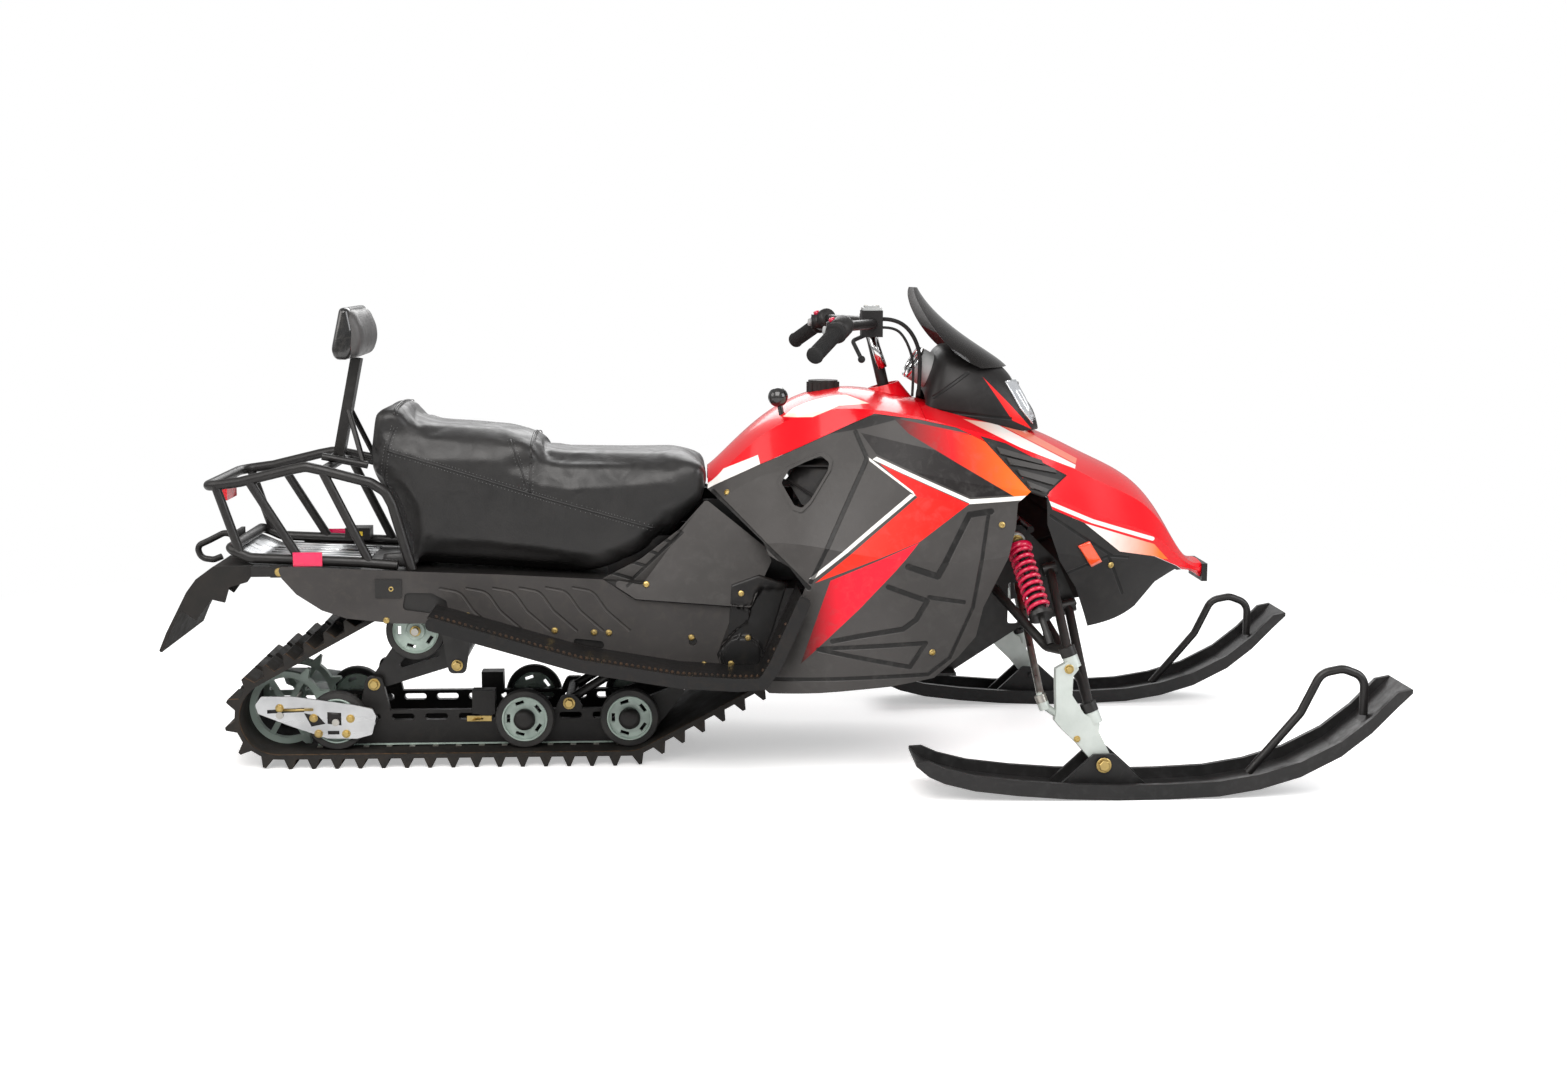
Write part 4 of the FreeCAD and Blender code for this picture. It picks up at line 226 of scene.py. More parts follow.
def polygon_mask(tree, place, outline, soft=0.0012):
    """One inside a convex side-view outline, falling to zero over a soft edge."""
    middle = Vector([sum(parts) / len(outline) for parts in zip(*outline)])
    edges = []
    for start, end in zip(outline, outline[1:] + outline[:1]):
        run = Vector((end[0] - start[0], end[1] - start[1]))
        normal = Vector((-run.y, run.x)).normalized()
        if normal.dot(middle - Vector(start)) < 0:
            normal = -normal
        reach = vector(tree, "DOT_PRODUCT", place, (normal.x, 0.0, normal.y))
        edges.append(maths(tree, "MULTIPLY_ADD", reach, 1 / soft, -normal.dot(Vector(start)) / soft,
                           clamp=True))
    return combined(tree, "MINIMUM", edges)


def line_mask(tree, place, lines, soft=0.0008):
    """One along side-view lines of given half widths."""
    flat = vector(tree, "MULTIPLY", place, (1.0, 0.0, 1.0))
    edges = []
    for half, run in lines:
        for start, end in zip(run, run[1:]):
            start, end = Vector((start[0], 0.0, start[1])), Vector((end[0], 0.0, end[1]))
            way = end - start
            share = vector(tree, "DOT_PRODUCT", flat, way / way.length_squared)
            share = maths(tree, "SUBTRACT", share, start.dot(way) / way.length_squared, clamp=True)
            foot = vector(tree, "ADD", vector(tree, "SCALE", way, share), start)
            gap = vector(tree, "DISTANCE", flat, foot)
            edges.append(maths(tree, "MULTIPLY_ADD", gap, -1 / soft, 1 + half / soft, clamp=True))
    return combined(tree, "MAXIMUM", edges)


def new_material(name):
    """A material with its node tree, its shader and the object's own places."""
    material = bpy.data.materials.new(name)
    material.use_nodes = True
    tree = material.node_tree
    return material, tree, tree.nodes["Principled BSDF"], add(tree, "ShaderNodeTexCoord").outputs["Object"]


def relief(tree, shader, height, distance, strength=0.6):
    bump = add(tree, "ShaderNodeBump", {"Height": height, "Strength": strength, "Distance": distance})
    link(tree, bump.outputs["Normal"], shader.inputs["Normal"])


def moulding(name, base, shade, rough=(0.30, 0.42), grain=900.0, depth=0.0001, coat=0.0, prints_and_highlights=(), grooves=(),
             lines=(), print_from=0.02, specular=0.5, dirt=(0.30, 0.27, 0.24), dirt_share=0.10):
    """A moulded skin: mottled colour, uneven gloss, fine grain, prints and painted highlights, pressed lines
    darkened with painted shade, and dust.

    A print is an outline and a colour, or an outline, two colours and the places along X that they run between.
    """
    material, tree, shader, place = new_material(name)
    smear = noise(tree, place, 38.0, 6.0, 0.65, 0.6)
    colour = tint(tree, ramp(tree, noise(tree, place, 5.0, 4.0)), base, shade)
    if prints_and_highlights or lines:
        reach = maths(tree, "ABSOLUTE", along_axis(tree, place, "Y"))
        flank = ramp(tree, reach, start=print_from - 0.001, end=print_from + 0.001)
    # Prints are laid on here, and painted highlights are given among them
    for outline, paint, *fade in prints_and_highlights:
        mask = maths(tree, "MULTIPLY", polygon_mask(tree, place, outline), flank)
        if fade:
            second, low, high = fade
            paint = tint(tree, ramp(tree, along_axis(tree, place, "X"), start=low, end=high), paint, second)
        colour = tint(tree, mask, colour, paint)
    for run, paint in lines:
        colour = tint(tree, maths(tree, "MULTIPLY", line_mask(tree, place, run), flank), colour, paint)
    height = maths(tree, "MULTIPLY", noise(tree, place, grain, 2.0), 0.4)
    if grooves:
        mask = line_mask(tree, place, grooves, 0.0020)
        # Painted shade: the grooves are darkened towards black as if shade lay in them
        colour = tint(tree, maths(tree, "MULTIPLY", mask, 0.85), colour, (0.003, 0.003, 0.003))
        height = maths(tree, "MULTIPLY_ADD", mask, -14.0, height)
    colour = tint(tree, ramp(tree, smear, 0.0, dirt_share, 0.5, 0.75), colour, dirt)
    link(tree, colour, shader.inputs["Base Color"])
    link(tree, ramp(tree, smear, *rough), shader.inputs["Roughness"])
    shader.inputs["Specular IOR Level"].default_value = specular
    shader.inputs["Coat Weight"].default_value = coat
    shader.inputs["Coat Roughness"].default_value = 0.06
    relief(tree, shader, height, depth)
    return material


def metal(name, base, shade, rough=(0.25, 0.45), grain=260.0, depth=0.00008, weight=1.0, brushed=False,
          specular=0.5):
    """Bare, cast or coated metal with uneven gloss, drawn out along X where it is brushed."""
    material, tree, shader, place = new_material(name)
    spread = place
    if brushed:
        spread = add(tree, "ShaderNodeMapping", {"Vector": place, "Scale": (0.04, 1.0, 1.0)}).outputs[0]
    link(tree, tint(tree, ramp(tree, noise(tree, place, 14.0, 5.0)), base, shade), shader.inputs["Base Color"])
    link(tree, ramp(tree, noise(tree, spread, grain / 6, 4.0), *rough), shader.inputs["Roughness"])
    shader.inputs["Metallic"].default_value = weight
    shader.inputs["Specular IOR Level"].default_value = specular
    relief(tree, shader, noise(tree, spread, grain), depth)
    return material


def rubber(name, base, shade, edge=None):
    """Matt rubber with fabric grain, and a rubbed line where one is named."""
    material, tree, shader, place = new_material(name)
    broad = noise(tree, place, 26.0, 6.0, 0.7)
    colour = tint(tree, ramp(tree, broad, start=0.4, end=0.7), base, shade)
    if edge:
        low, high, worn = edge
        side = maths(tree, "ABSOLUTE", along_axis(tree, place, "Y"))
        patchy = combined(tree, "MULTIPLY", (
            maths(tree, "GREATER_THAN", side, low), maths(tree, "LESS_THAN", side, high),
            ramp(tree, noise(tree, place, 60.0), 0.1, 0.9)))
        colour = tint(tree, patchy, colour, worn)
    link(tree, colour, shader.inputs["Base Color"])
    link(tree, ramp(tree, broad, 0.62, 0.85), shader.inputs["Roughness"])
    shader.inputs["Specular IOR Level"].default_value = 0.30
    relief(tree, shader, maths(tree, "MULTIPLY_ADD", broad, 2.0, noise(tree, place, 700.0, 2.0)), 0.0002)
    return material


def vinyl(name, base, shade, folding=6.0):
    """Grained cover cloth with pores and soft wrinkles."""
    material, tree, shader, place = new_material(name)
    pores = add(tree, "ShaderNodeTexVoronoi", {"Vector": place, "Scale": 420.0}, feature="SMOOTH_F1").outputs[0]
    folds = noise(tree, place, 17.0, 3.0, 0.5, 1.5)
    link(tree, tint(tree, ramp(tree, noise(tree, place, 9.0, 5.0)), base, shade), shader.inputs["Base Color"])
    link(tree, ramp(tree, folds, 0.34, 0.50), shader.inputs["Roughness"])
    shader.inputs["Specular IOR Level"].default_value = 0.42
    relief(tree, shader, maths(tree, "MULTIPLY_ADD", folds, folding, maths(tree, "MULTIPLY", pores, 0.8)),
           0.0003)
    return material


def wheel_face(name):
    """Pale discs inside black tyres, told apart by the distance from each wheel's middle."""
    material, tree, shader, place = new_material(name)
    reaches = []
    for x, z in WHEEL_PLACES:
        shift = vector(tree, "SUBTRACT", place, (x, 0.0, z))
        reaches.append(vector(tree, "LENGTH", vector(tree, "MULTIPLY", shift, (1.0, 0.0, 1.0))))
    inside = maths(tree, "LESS_THAN", combined(tree, "MINIMUM", reaches), WHEEL_TYRE_RADIUS)
    broad = ramp(tree, noise(tree, place, 30.0, 4.0))
    pale = tint(tree, broad, (0.52, 0.62, 0.56), (0.40, 0.49, 0.44))
    tyre = tint(tree, broad, (0.018, 0.018, 0.018), (0.035, 0.033, 0.031))
    link(tree, tint(tree, inside, tyre, pale), shader.inputs["Base Color"])
    link(tree, ramp(tree, inside, 0.75, 0.42, 0.0, 1.0), shader.inputs["Roughness"])
    relief(tree, shader, noise(tree, place, 500.0), 0.0001)
    return material


def glass(name, colour, rough, weight, index):
    """Clear or smoked plastic with faint smears."""
    material, tree, shader, place = new_material(name)
    smear = noise(tree, place, 12.0, 5.0)
    link(tree, tint(tree, ramp(tree, smear), colour, [part * 0.86 for part in colour]),
         shader.inputs["Base Color"])
    link(tree, ramp(tree, smear, rough, rough * 2.5), shader.inputs["Roughness"])
    shader.inputs["Transmission Weight"].default_value = weight
    shader.inputs["IOR"].default_value = index
    relief(tree, shader, noise(tree, place, 20.0), 0.00001, 0.1)
    return material


def all_materials():
    """Every finish, keyed by the record's material slot or by a scene-only name."""
    # The first colour is the cream of the painted highlight on the tank
    highlight_cream, white, orange = (0.92, 0.80, 0.66), (0.90, 0.88, 0.84), (0.93, 0.17, 0.012)
    scarlet, ember, wine = (0.84, 0.012, 0.010), (0.86, 0.030, 0.010), (0.72, 0.008, 0.012)
    ink = (0.012, 0.010, 0.010)
    # The tank's prints, with the two glints among them as painted highlight
    tank_prints_and_highlights = (
        (TANK_GLINT, highlight_cream), (SEAT_STRIPE, white), (HOOD_EDGE, (0.86, 0.22, 0.14)),
        (HOOD_STRIPE, orange, white, 0.40, 0.52), (NOSE_WEDGE, white, orange, 0.74, 0.88),
        (TANK_GLINT_FRONT, highlight_cream))
    flank_prints = (
        (WEDGE_LOW, (0.030, 0.006, 0.004), (0.86, 0.010, 0.030), 0.078, 0.165),
        (FLASH_LOW, ember, scarlet, 0.10, 0.42), (FLASH_HIGH, scarlet),
        (PANEL_ARCH, (0.010, 0.009, 0.009)), (PANEL_FIELD, ink),
        (WEDGE_TOP_REAR, ink, (0.62, 0.008, 0.012), 0.28, 0.40), (WEDGE_TOP_FRONT, wine, orange, 0.40, 0.56),
        (Z_UPPER, white), (Z_LOWER, white), (Z_TOP, white), (Z_FRONT, white))
    return {
        "red_plastic": moulding(
            "red_moulding", (0.80, 0.002, 0.010), (0.70, 0.002, 0.008), (0.22, 0.27), 300.0, 0.000004, 0.28,
            tank_prints_and_highlights, lines=((NOSE_LINE, white),), print_from=0.105, specular=0.2,
            dirt=(0.72, 0.002, 0.008)),
        "grey_plastic": moulding(
            "grey_moulding", (0.060, 0.056, 0.054), (0.046, 0.043, 0.041), (0.34, 0.48), 1100.0, 0.00016, 0.0,
            flank_prints, PANEL_LINES + SIDE_LINES, specular=0.28, dirt=(0.10, 0.095, 0.09), dirt_share=0.25),
        "black_plastic": moulding(
            "black_moulding", (0.021, 0.020, 0.019), (0.014, 0.013, 0.013), (0.36, 0.52), 1100.0, 0.00014,
            grooves=NOSE_LINES, specular=0.26, dirt=(0.06, 0.055, 0.05), dirt_share=0.20),
        "cowl_black": moulding(
            "cowl_black", (0.016, 0.015, 0.015), (0.011, 0.010, 0.010), (0.34, 0.46), 1100.0, 0.00014, 0.0,
            ((COWL_WEDGE, (0.84, 0.012, 0.012)),), COWL_FOLDS, specular=0.24, dirt=(0.05, 0.05, 0.05),
            dirt_share=0.15),
        "skirt_black": moulding(
            "skirt_black", (0.054, 0.050, 0.048), (0.040, 0.037, 0.036), (0.38, 0.54), 1100.0, 0.00014,
            specular=0.24, dirt=(0.08, 0.07, 0.06), dirt_share=0.35),
        # Painted shade: a black darker than any part's own, for the running boards and for patches and sheets
        # that stand for shade in recesses and openings
        "recess_black": moulding(
            "recess_black", (0.006, 0.006, 0.006), (0.009, 0.008, 0.008), (0.3, 0.45), 300.0, 0.0003,
            specular=0.3, dirt=(0.03, 0.022, 0.016), dirt_share=0.4),
        "silver_plastic": moulding("silver_moulding", (0.42, 0.43, 0.43), (0.33, 0.34, 0.34)),
        "ski_plastic": moulding(
            "ski_moulding", (0.013, 0.013, 0.013), (0.020, 0.019, 0.019), (0.32, 0.55), 500.0, 0.00018,
            specular=0.3, dirt=(0.06, 0.06, 0.06), dirt_share=0.30),
        "red_lens": moulding(
            "red_lens", (0.80, 0.012, 0.022), (0.62, 0.008, 0.016), (0.10, 0.20), 240.0, 0.0003, 0.7,
            dirt=(0.5, 0.02, 0.02)),
        "spring_red": moulding(
            "spring_coat", (0.62, 0.006, 0.055), (0.50, 0.004, 0.040), (0.20, 0.34), 400.0, 0.00005, 0.4,
            dirt=(0.30, 0.01, 0.03)),
        "rack_reflector": moulding(
            "rack_reflector", (0.86, 0.004, 0.10), (0.78, 0.004, 0.07), (0.10, 0.18), 240.0, 0.0003, 0.7,
            dirt=(0.6, 0.02, 0.08)),
        "orange": moulding(
            "orange_reflector", (0.90, 0.030, 0.012), (0.84, 0.10, 0.015), (0.10, 0.18), 240.0, 0.0003, 0.7),
        "gloss_black": moulding(
            "gloss_black", (0.012, 0.012, 0.012), (0.018, 0.018, 0.018), (0.10, 0.18), 700.0, 0.00003, 0.6,
            specular=0.4),
        "mint": moulding("mint_plastic", (0.46, 0.56, 0.50), (0.38, 0.47, 0.42), (0.35, 0.5)),
        "dial": moulding("dial_face", (0.012, 0.012, 0.014), (0.020, 0.020, 0.022), (0.2, 0.3)),
        "yellow": moulding("yellow_mark", (0.85, 0.62, 0.05), (0.78, 0.55, 0.05), (0.35, 0.45)),
        "wheel_plastic": wheel_face("wheel_faces"),
        "clear_lens": glass("clear_lens", (0.97, 0.98, 0.98), 0.02, 1.0, 1.25),
        "tinted_screen": glass("tinted_screen", (0.045, 0.040, 0.038), 0.05, 0.75, 1.35),
        "vinyl": vinyl("black_vinyl", (0.011, 0.0105, 0.0105), (0.018, 0.017, 0.0165)),
        "grey_vinyl": vinyl("grey_vinyl", (0.075, 0.073, 0.072), (0.058, 0.056, 0.055), 3.0),
        "thread": vinyl("thread", (0.10, 0.10, 0.10), (0.07, 0.07, 0.07), 3.0),
        "track_rubber": rubber(
            "track_rubber", (0.012, 0.011, 0.010), (0.028, 0.023, 0.019), (0.181, 0.189, (0.13, 0.070, 0.030))),
        "flap_rubber": rubber("flap_rubber", (0.012, 0.011, 0.010), (0.024, 0.021, 0.019)),
        "grip_rubber": rubber("grip_rubber", (0.009, 0.009, 0.009), (0.016, 0.015, 0.015)),
        "black_metal": metal(
            "black_powder_coat", (0.014, 0.013, 0.012), (0.009, 0.008, 0.008), (0.32, 0.46), 500.0, 0.00014,
            0.0, specular=0.42),
        "bright_metal": metal(
            "bright_aluminium", (0.62, 0.63, 0.64), (0.48, 0.49, 0.50), (0.22, 0.40), brushed=True),
        "cast_metal": metal(
            "cast_alloy", (0.56, 0.60, 0.57), (0.44, 0.48, 0.45), (0.42, 0.60), 120.0, 0.0004, 0.35),
        "zinc_steel": metal("zinc_steel", (0.50, 0.49, 0.46), (0.40, 0.38, 0.34), (0.26, 0.44)),
        "engine_metal": metal(
            "engine_casting", (0.13, 0.13, 0.13), (0.09, 0.09, 0.09), (0.45, 0.6), 150.0, 0.0004),
        "lens_silver": metal(
            "lens_silver", (0.74, 0.76, 0.78), (0.55, 0.57, 0.60), (0.08, 0.20), 90.0, 0.0003, 0.6),
        "gold_zinc": metal("gold_zinc", (0.55, 0.40, 0.14), (0.42, 0.31, 0.13), (0.28, 0.46)),
        "chrome": metal("chrome", (0.80, 0.80, 0.80), (0.66, 0.66, 0.66), (0.06, 0.14)),
        "worn_edge": metal(
            "worn_edge", (0.055, 0.030, 0.016), (0.020, 0.014, 0.010), (0.45, 0.65), 160.0, 0.0004, 0.2,
            specular=0.3),
    }


def placed(name, data):
    """A new object in the scene."""
    found = bpy.data.objects.new(name, data)
    bpy.context.scene.collection.objects.link(found)
    return found


def plain_mesh(piece):
    """A mesh of an object as its modifiers leave it."""
    graph = bpy.context.evaluated_depsgraph_get()
    return bpy.data.meshes.new_from_object(piece.evaluated_get(graph))


def mesh_object(name, vertices, faces, smooth=True):
    """A new object made of faces, all turned outwards."""
    mesh = bpy.data.meshes.new(name)
    mesh.from_pydata([tuple(place) for place in vertices], [], faces)
    mesh.update()
    work = bmesh.new()
    work.from_mesh(mesh)
    bmesh.ops.recalc_face_normals(work, faces=work.faces)
    work.to_mesh(mesh)
    work.free()
    for face in mesh.polygons:
        face.use_smooth = smooth
    return placed(name, mesh)


def finish_piece(piece, body, material):
    """Gives a piece its finish and lets it ride on a body."""
    piece.data.materials.clear()
    piece.data.materials.append(MATERIALS[material])
    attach(piece, body)


def merge_parts(parts):
    """The vertices and faces of several parts as one."""
    vertices, faces = [], []
    for part_vertices, part_faces in parts:
        shift = len(vertices)
        vertices += part_vertices
        faces += [tuple(index + shift for index in face) for face in part_faces]
    return vertices, faces


def fit(body, *rows):
    """One object for each row: name, parts, finish, slot and, where the faces stay flat, False."""
    for name, parts, material, slot, *smooth in rows:
        finish_piece(mesh_object(name, *merge_parts(parts), *smooth), body, material)


def ring_faces(rows, count, base=0, closed=False):
    """Quads between neighbouring rings of count points; closed joins the last ring to the first."""
    faces = []
    for row in range(rows if closed else rows - 1):
        here, there = base + row * count, base + (row + 1) % rows * count
        faces += [(here + spot, here + (spot + 1) % count, there + (spot + 1) % count, there + spot)
                  for spot in range(count)]
    return faces


def end_faces(rows, count):
    """The first and the last ring of count points, each closed by one face."""
    return [tuple(range(count)), tuple(range((rows - 1) * count, rows * count))]


def circle(centre, across, up, radius, sides):
    """Places on a circle that lies in two directions."""
    turns = [2 * math.pi * side / sides for side in range(sides)]
    return [centre + (across * math.cos(turn) + up * math.sin(turn)) * radius for turn in turns]


def sweep(points, radius, sides=12):
    """A round tube along points, with its frame carried from ring to ring."""
    points = [Vector(place) for place in points]
    count = len(points)
    vertices, across = [], None
    for index, place in enumerate(points):
        ahead = (points[min(index + 1, count - 1)] - points[max(index - 1, 0)]).normalized()
        if across is None:
            across = ahead.orthogonal().normalized()
        across = (across - ahead * across.dot(ahead)).normalized()
        size = radius[index] if isinstance(radius, (list, tuple)) else radius
        vertices += circle(place, across, ahead.cross(across), size, sides)
    return vertices, ring_faces(count, sides) + end_faces(count, sides)


def lathe(profile, centre=(0, 0, 0), axis=(0, 0, 1), sides=40, ring=False):
    """A turned part: (radius, distance along the axis) places about an axis, hollow where it is a ring."""
    centre, axis = Vector(centre), Vector(axis).normalized()
    across = axis.orthogonal().normalized()
    up = axis.cross(across)
    vertices = []
    for radius, reach in profile:
        vertices += circle(centre + axis * reach, across, up, radius, sides)
    count = len(profile)
    return vertices, ring_faces(count, sides, closed=ring) + ([] if ring else end_faces(count, sides))


def block(low, high):
    """A box between two corners."""
    corners = [Vector((x, y, z)) for x in (low[0], high[0]) for y in (low[1], high[1])
               for z in (low[2], high[2])]
    return corners, [(0, 1, 3, 2), (4, 6, 7, 5), (0, 4, 5, 1), (2, 3, 7, 6), (0, 2, 6, 4), (1, 5, 7, 3)]


def rounded(places, radius, steps=5):
    """A closed side-view outline with its corners rounded."""
    found = []
    count = len(places)
    for index in range(count):
        corner = Vector(places[index])
        before, after = Vector(places[index - 1]) - corner, Vector(places[(index + 1) % count]) - corner
        reach = min(radius, before.length * 0.45, after.length * 0.45)
        start, end = corner + before.normalized() * reach, corner + after.normalized() * reach
        for step in range(steps + 1):
            share = step / steps
            found.append(start * (1 - share) ** 2 + corner * (2 * share * (1 - share)) + end * share ** 2)
    return found


def node_tree_of(*names):
    """A search tree over the shown faces of CAD nodes."""
    nodes = [frame["nodes"][name] for name in names]
    return BVHTree.FromPolygons(*merge_parts(
        ([node.matrix_world @ vertex.co for vertex in node.data.vertices],
         [tuple(face.vertices) for face in node.data.polygons]) for node in nodes))


def on_skin(tree, x, z, side, reach=0.6):
    """The place and normal where a sideways look from outside meets the skin."""
    place, normal, index, distance = tree.ray_cast(Vector((x, side * reach, z)), Vector((0, -side, 0)))
    if place is None or place.y * side < 0:
        return None, None
    return place, normal if normal.y * side > 0 else -normal


def skin_patch(tree, outline, side, lift, sink, step=0.008):
    """A plate that follows the skin inside a convex side-view outline."""
    outline = [Vector(place) for place in outline]
    middle = sum(outline, Vector((0, 0))) / len(outline)
    rings = max(2, round(max((place - middle).length for place in outline) / step))
    spans = []
    for start, end in zip(outline, outline[1:] + outline[:1]):
        parts = max(1, round((end - start).length / step))
        spans += [start.lerp(end, part / parts) for part in range(parts)]
    hit, normal = on_skin(tree, middle.x, middle.y, side)
    if hit is None:
        hit, normal = tree.find_nearest(Vector((middle.x, side * 0.3, middle.y)))[0], Vector((0, side, 0))
    centre_hit, centre_normal = Vector((middle.x, hit.y, middle.y)), normal
    upper, lower = [], []
    for ring in range(1, rings + 1):
        for place in spans:
            spot = middle.lerp(place, ring / rings)
            found, facing = on_skin(tree, spot.x, spot.y, side)
            if found is None:
                hit = Vector((spot.x, hit.y, spot.y))
            else:
                hit, normal = found, facing
            upper.append(hit + normal * lift)
            lower.append(hit - normal * sink)
    count, shift = len(spans), len(upper) + 1
    vertices = upper + [centre_hit + centre_normal * lift] + lower + [centre_hit - centre_normal * sink]
    faces = []
    for base in (0, shift):
        faces += ring_faces(rings, count, base)
        faces += [(base + spot, base + (spot + 1) % count, base + rings * count) for spot in range(count)]
    last = (rings - 1) * count
    for spot in range(count):
        here, there = last + spot, last + (spot + 1) % count
        faces.append((here, there, shift + there, shift + here))
    return vertices, faces


def scatter(name, points, shape, body, material):
    """Copies of a small shape on points that carry a facing and a size, made with geometry nodes."""
    mesh = bpy.data.meshes.new(name + "_points")
    mesh.from_pydata([tuple(place) for place, facing, size in points], [], [])
    mesh.attributes.new("facing", "FLOAT_VECTOR", "POINT")
    mesh.attributes.new("size", "FLOAT", "POINT")
    for index, (place, facing, size) in enumerate(points):
        mesh.attributes["facing"].data[index].vector = facing
        mesh.attributes["size"].data[index].value = size
    carrier = placed(name + "_carrier", mesh)
    seed_shape = mesh_object(name + "_shape", *shape, False)
    group = bpy.data.node_groups.new(name, "GeometryNodeTree")
    group.interface.new_socket("Geometry", in_out="INPUT", socket_type="NodeSocketGeometry")
    shape_socket = group.interface.new_socket("Shape", in_out="INPUT", socket_type="NodeSocketObject")
    group.interface.new_socket("Geometry", in_out="OUTPUT", socket_type="NodeSocketGeometry")
    start, end = add(group, "NodeGroupInput"), add(group, "NodeGroupOutput")
    facing = add(group, "GeometryNodeInputNamedAttribute", {"Name": "facing"}, data_type="FLOAT_VECTOR")
    size = add(group, "GeometryNodeInputNamedAttribute", {"Name": "size"}, data_type="FLOAT")
    turn = add(group, "FunctionNodeAlignRotationToVector", {"Vector": facing.outputs["Attribute"]}, axis="Z")
    info = add(group, "GeometryNodeObjectInfo", {"Object": start.outputs["Shape"]})
    copies = add(group, "GeometryNodeInstanceOnPoints", {
        "Points": start.outputs["Geometry"], "Instance": info.outputs["Geometry"],
        "Rotation": turn.outputs[0], "Scale": size.outputs["Attribute"]})
    real = add(group, "GeometryNodeRealizeInstances", {"Geometry": copies.outputs[0]})
    painted = add(group, "GeometryNodeSetMaterial", {
        "Geometry": real.outputs[0], "Material": MATERIALS[material]})
    link(group, painted.outputs[0], end.inputs[0])
    modifier = carrier.modifiers.new("copies", "NODES")
    modifier.node_group = group
    modifier[shape_socket.identifier] = seed_shape
    bpy.context.view_layer.update()
    piece = placed(name, plain_mesh(carrier))
    bpy.data.objects.remove(carrier)
    bpy.data.objects.remove(seed_shape)
    finish_piece(piece, body, material)


def hexagon_head():
    """A hexagon bolt head with a washer, one unit in radius, standing on Z."""
    return merge_parts((lathe(((1.25, 0.0), (1.25, 0.14), (1.18, 0.2)), sides=18),
                        lathe(((0.95, 0.18), (0.95, 0.72), (0.80, 0.84)), sides=6)))


def socket_head():
    """A domed screw head with a socket."""
    return lathe(((1.2, 0.0), (1.2, 0.12), (0.98, 0.42), (0.5, 0.55), (0.45, 0.30), (0.1, 0.30)), sides=20)


def outline_solid(outline, stations):
    """A closed form: a side-view outline drawn in at each station (side, inset, lift) across."""
    outline = [Vector(place) for place in outline]
    count, rows = len(outline), len(stations)
    runs = [outline[(index + 1) % count] - outline[index] for index in range(count)]
    turn = sum(run.cross(runs[(index + 1) % count]) for index, run in enumerate(runs))
    normals = []
    for index in range(count):
        run = outline[(index + 1) % count] - outline[index - 1]
        normal = Vector((run.y, -run.x)).normalized()
        normals.append(-normal if turn < 0 else normal)
    vertices = []
    for side, inset, lift in stations:
        for place, normal in zip(outline, normals):
            spot = place - normal * inset + Vector((0, lift * max(0.0, normal.y)))
            vertices.append(Vector((spot.x, side, spot.y)))
    return vertices, ring_faces(rows, count) + end_faces(rows, count)


def stations_across(half, edge, crown, rows=15):
    """Sides, insets and lifts of a cushion with rounded edges and a crowned top."""
    found = []
    for row in range(rows):
        share = -1 + 2 * row / (rows - 1)
        side = half * math.sin(share * math.pi / 2)
        over = max(0.0, abs(side) - (half - edge)) / edge
        inset = edge * (1 - math.sqrt(max(0.0, 1 - over * over)))
        found.append((side, min(inset, edge * 0.92), crown * (1 - (side / half) ** 2)))
    return found


def inflated(piece, voxel, pressure, cap, frames):
    """Remeshes a closed form and lets cloth pressure round it, keeping each point near its start."""
    bpy.context.view_layer.objects.active = piece
    remesh = piece.modifiers.new("remesh", "REMESH")
    remesh.mode = "VOXEL"
    remesh.voxel_size = voxel
    mesh = plain_mesh(piece)
    piece.modifiers.clear()
    piece.data = mesh
    start = [vertex.co.copy() for vertex in mesh.vertices]
    cloth = piece.modifiers.new("cloth", "CLOTH").settings
    cloth.use_pressure = True
    cloth.uniform_pressure_force = pressure
    cloth.tension_stiffness = 40
    cloth.compression_stiffness = 20
    cloth.bending_stiffness = 6
    cloth.effector_weights.gravity = 0
    cloth.quality = 5
    scene = bpy.context.scene
    for number in range(1, frames + 1):
        scene.frame_set(number)
    result = plain_mesh(piece)
    piece.modifiers.clear()
    piece.data = result
    for vertex, origin in zip(result.vertices, start):
        travel = vertex.co - origin
        if travel.length > cap:
            vertex.co = origin + travel.normalized() * cap
    scene.frame_set(1)


def smooth_shade(piece):
    """Relaxes the points and shades the faces smooth."""
    work = bmesh.new()
    work.from_mesh(piece.data)
    for repeat in range(3):
        bmesh.ops.smooth_vert(work, verts=work.verts, factor=0.5,
                              use_axis_x=True, use_axis_y=True, use_axis_z=True)
    work.to_mesh(piece.data)
    work.free()
    for face in piece.data.polygons:
        face.use_smooth = True


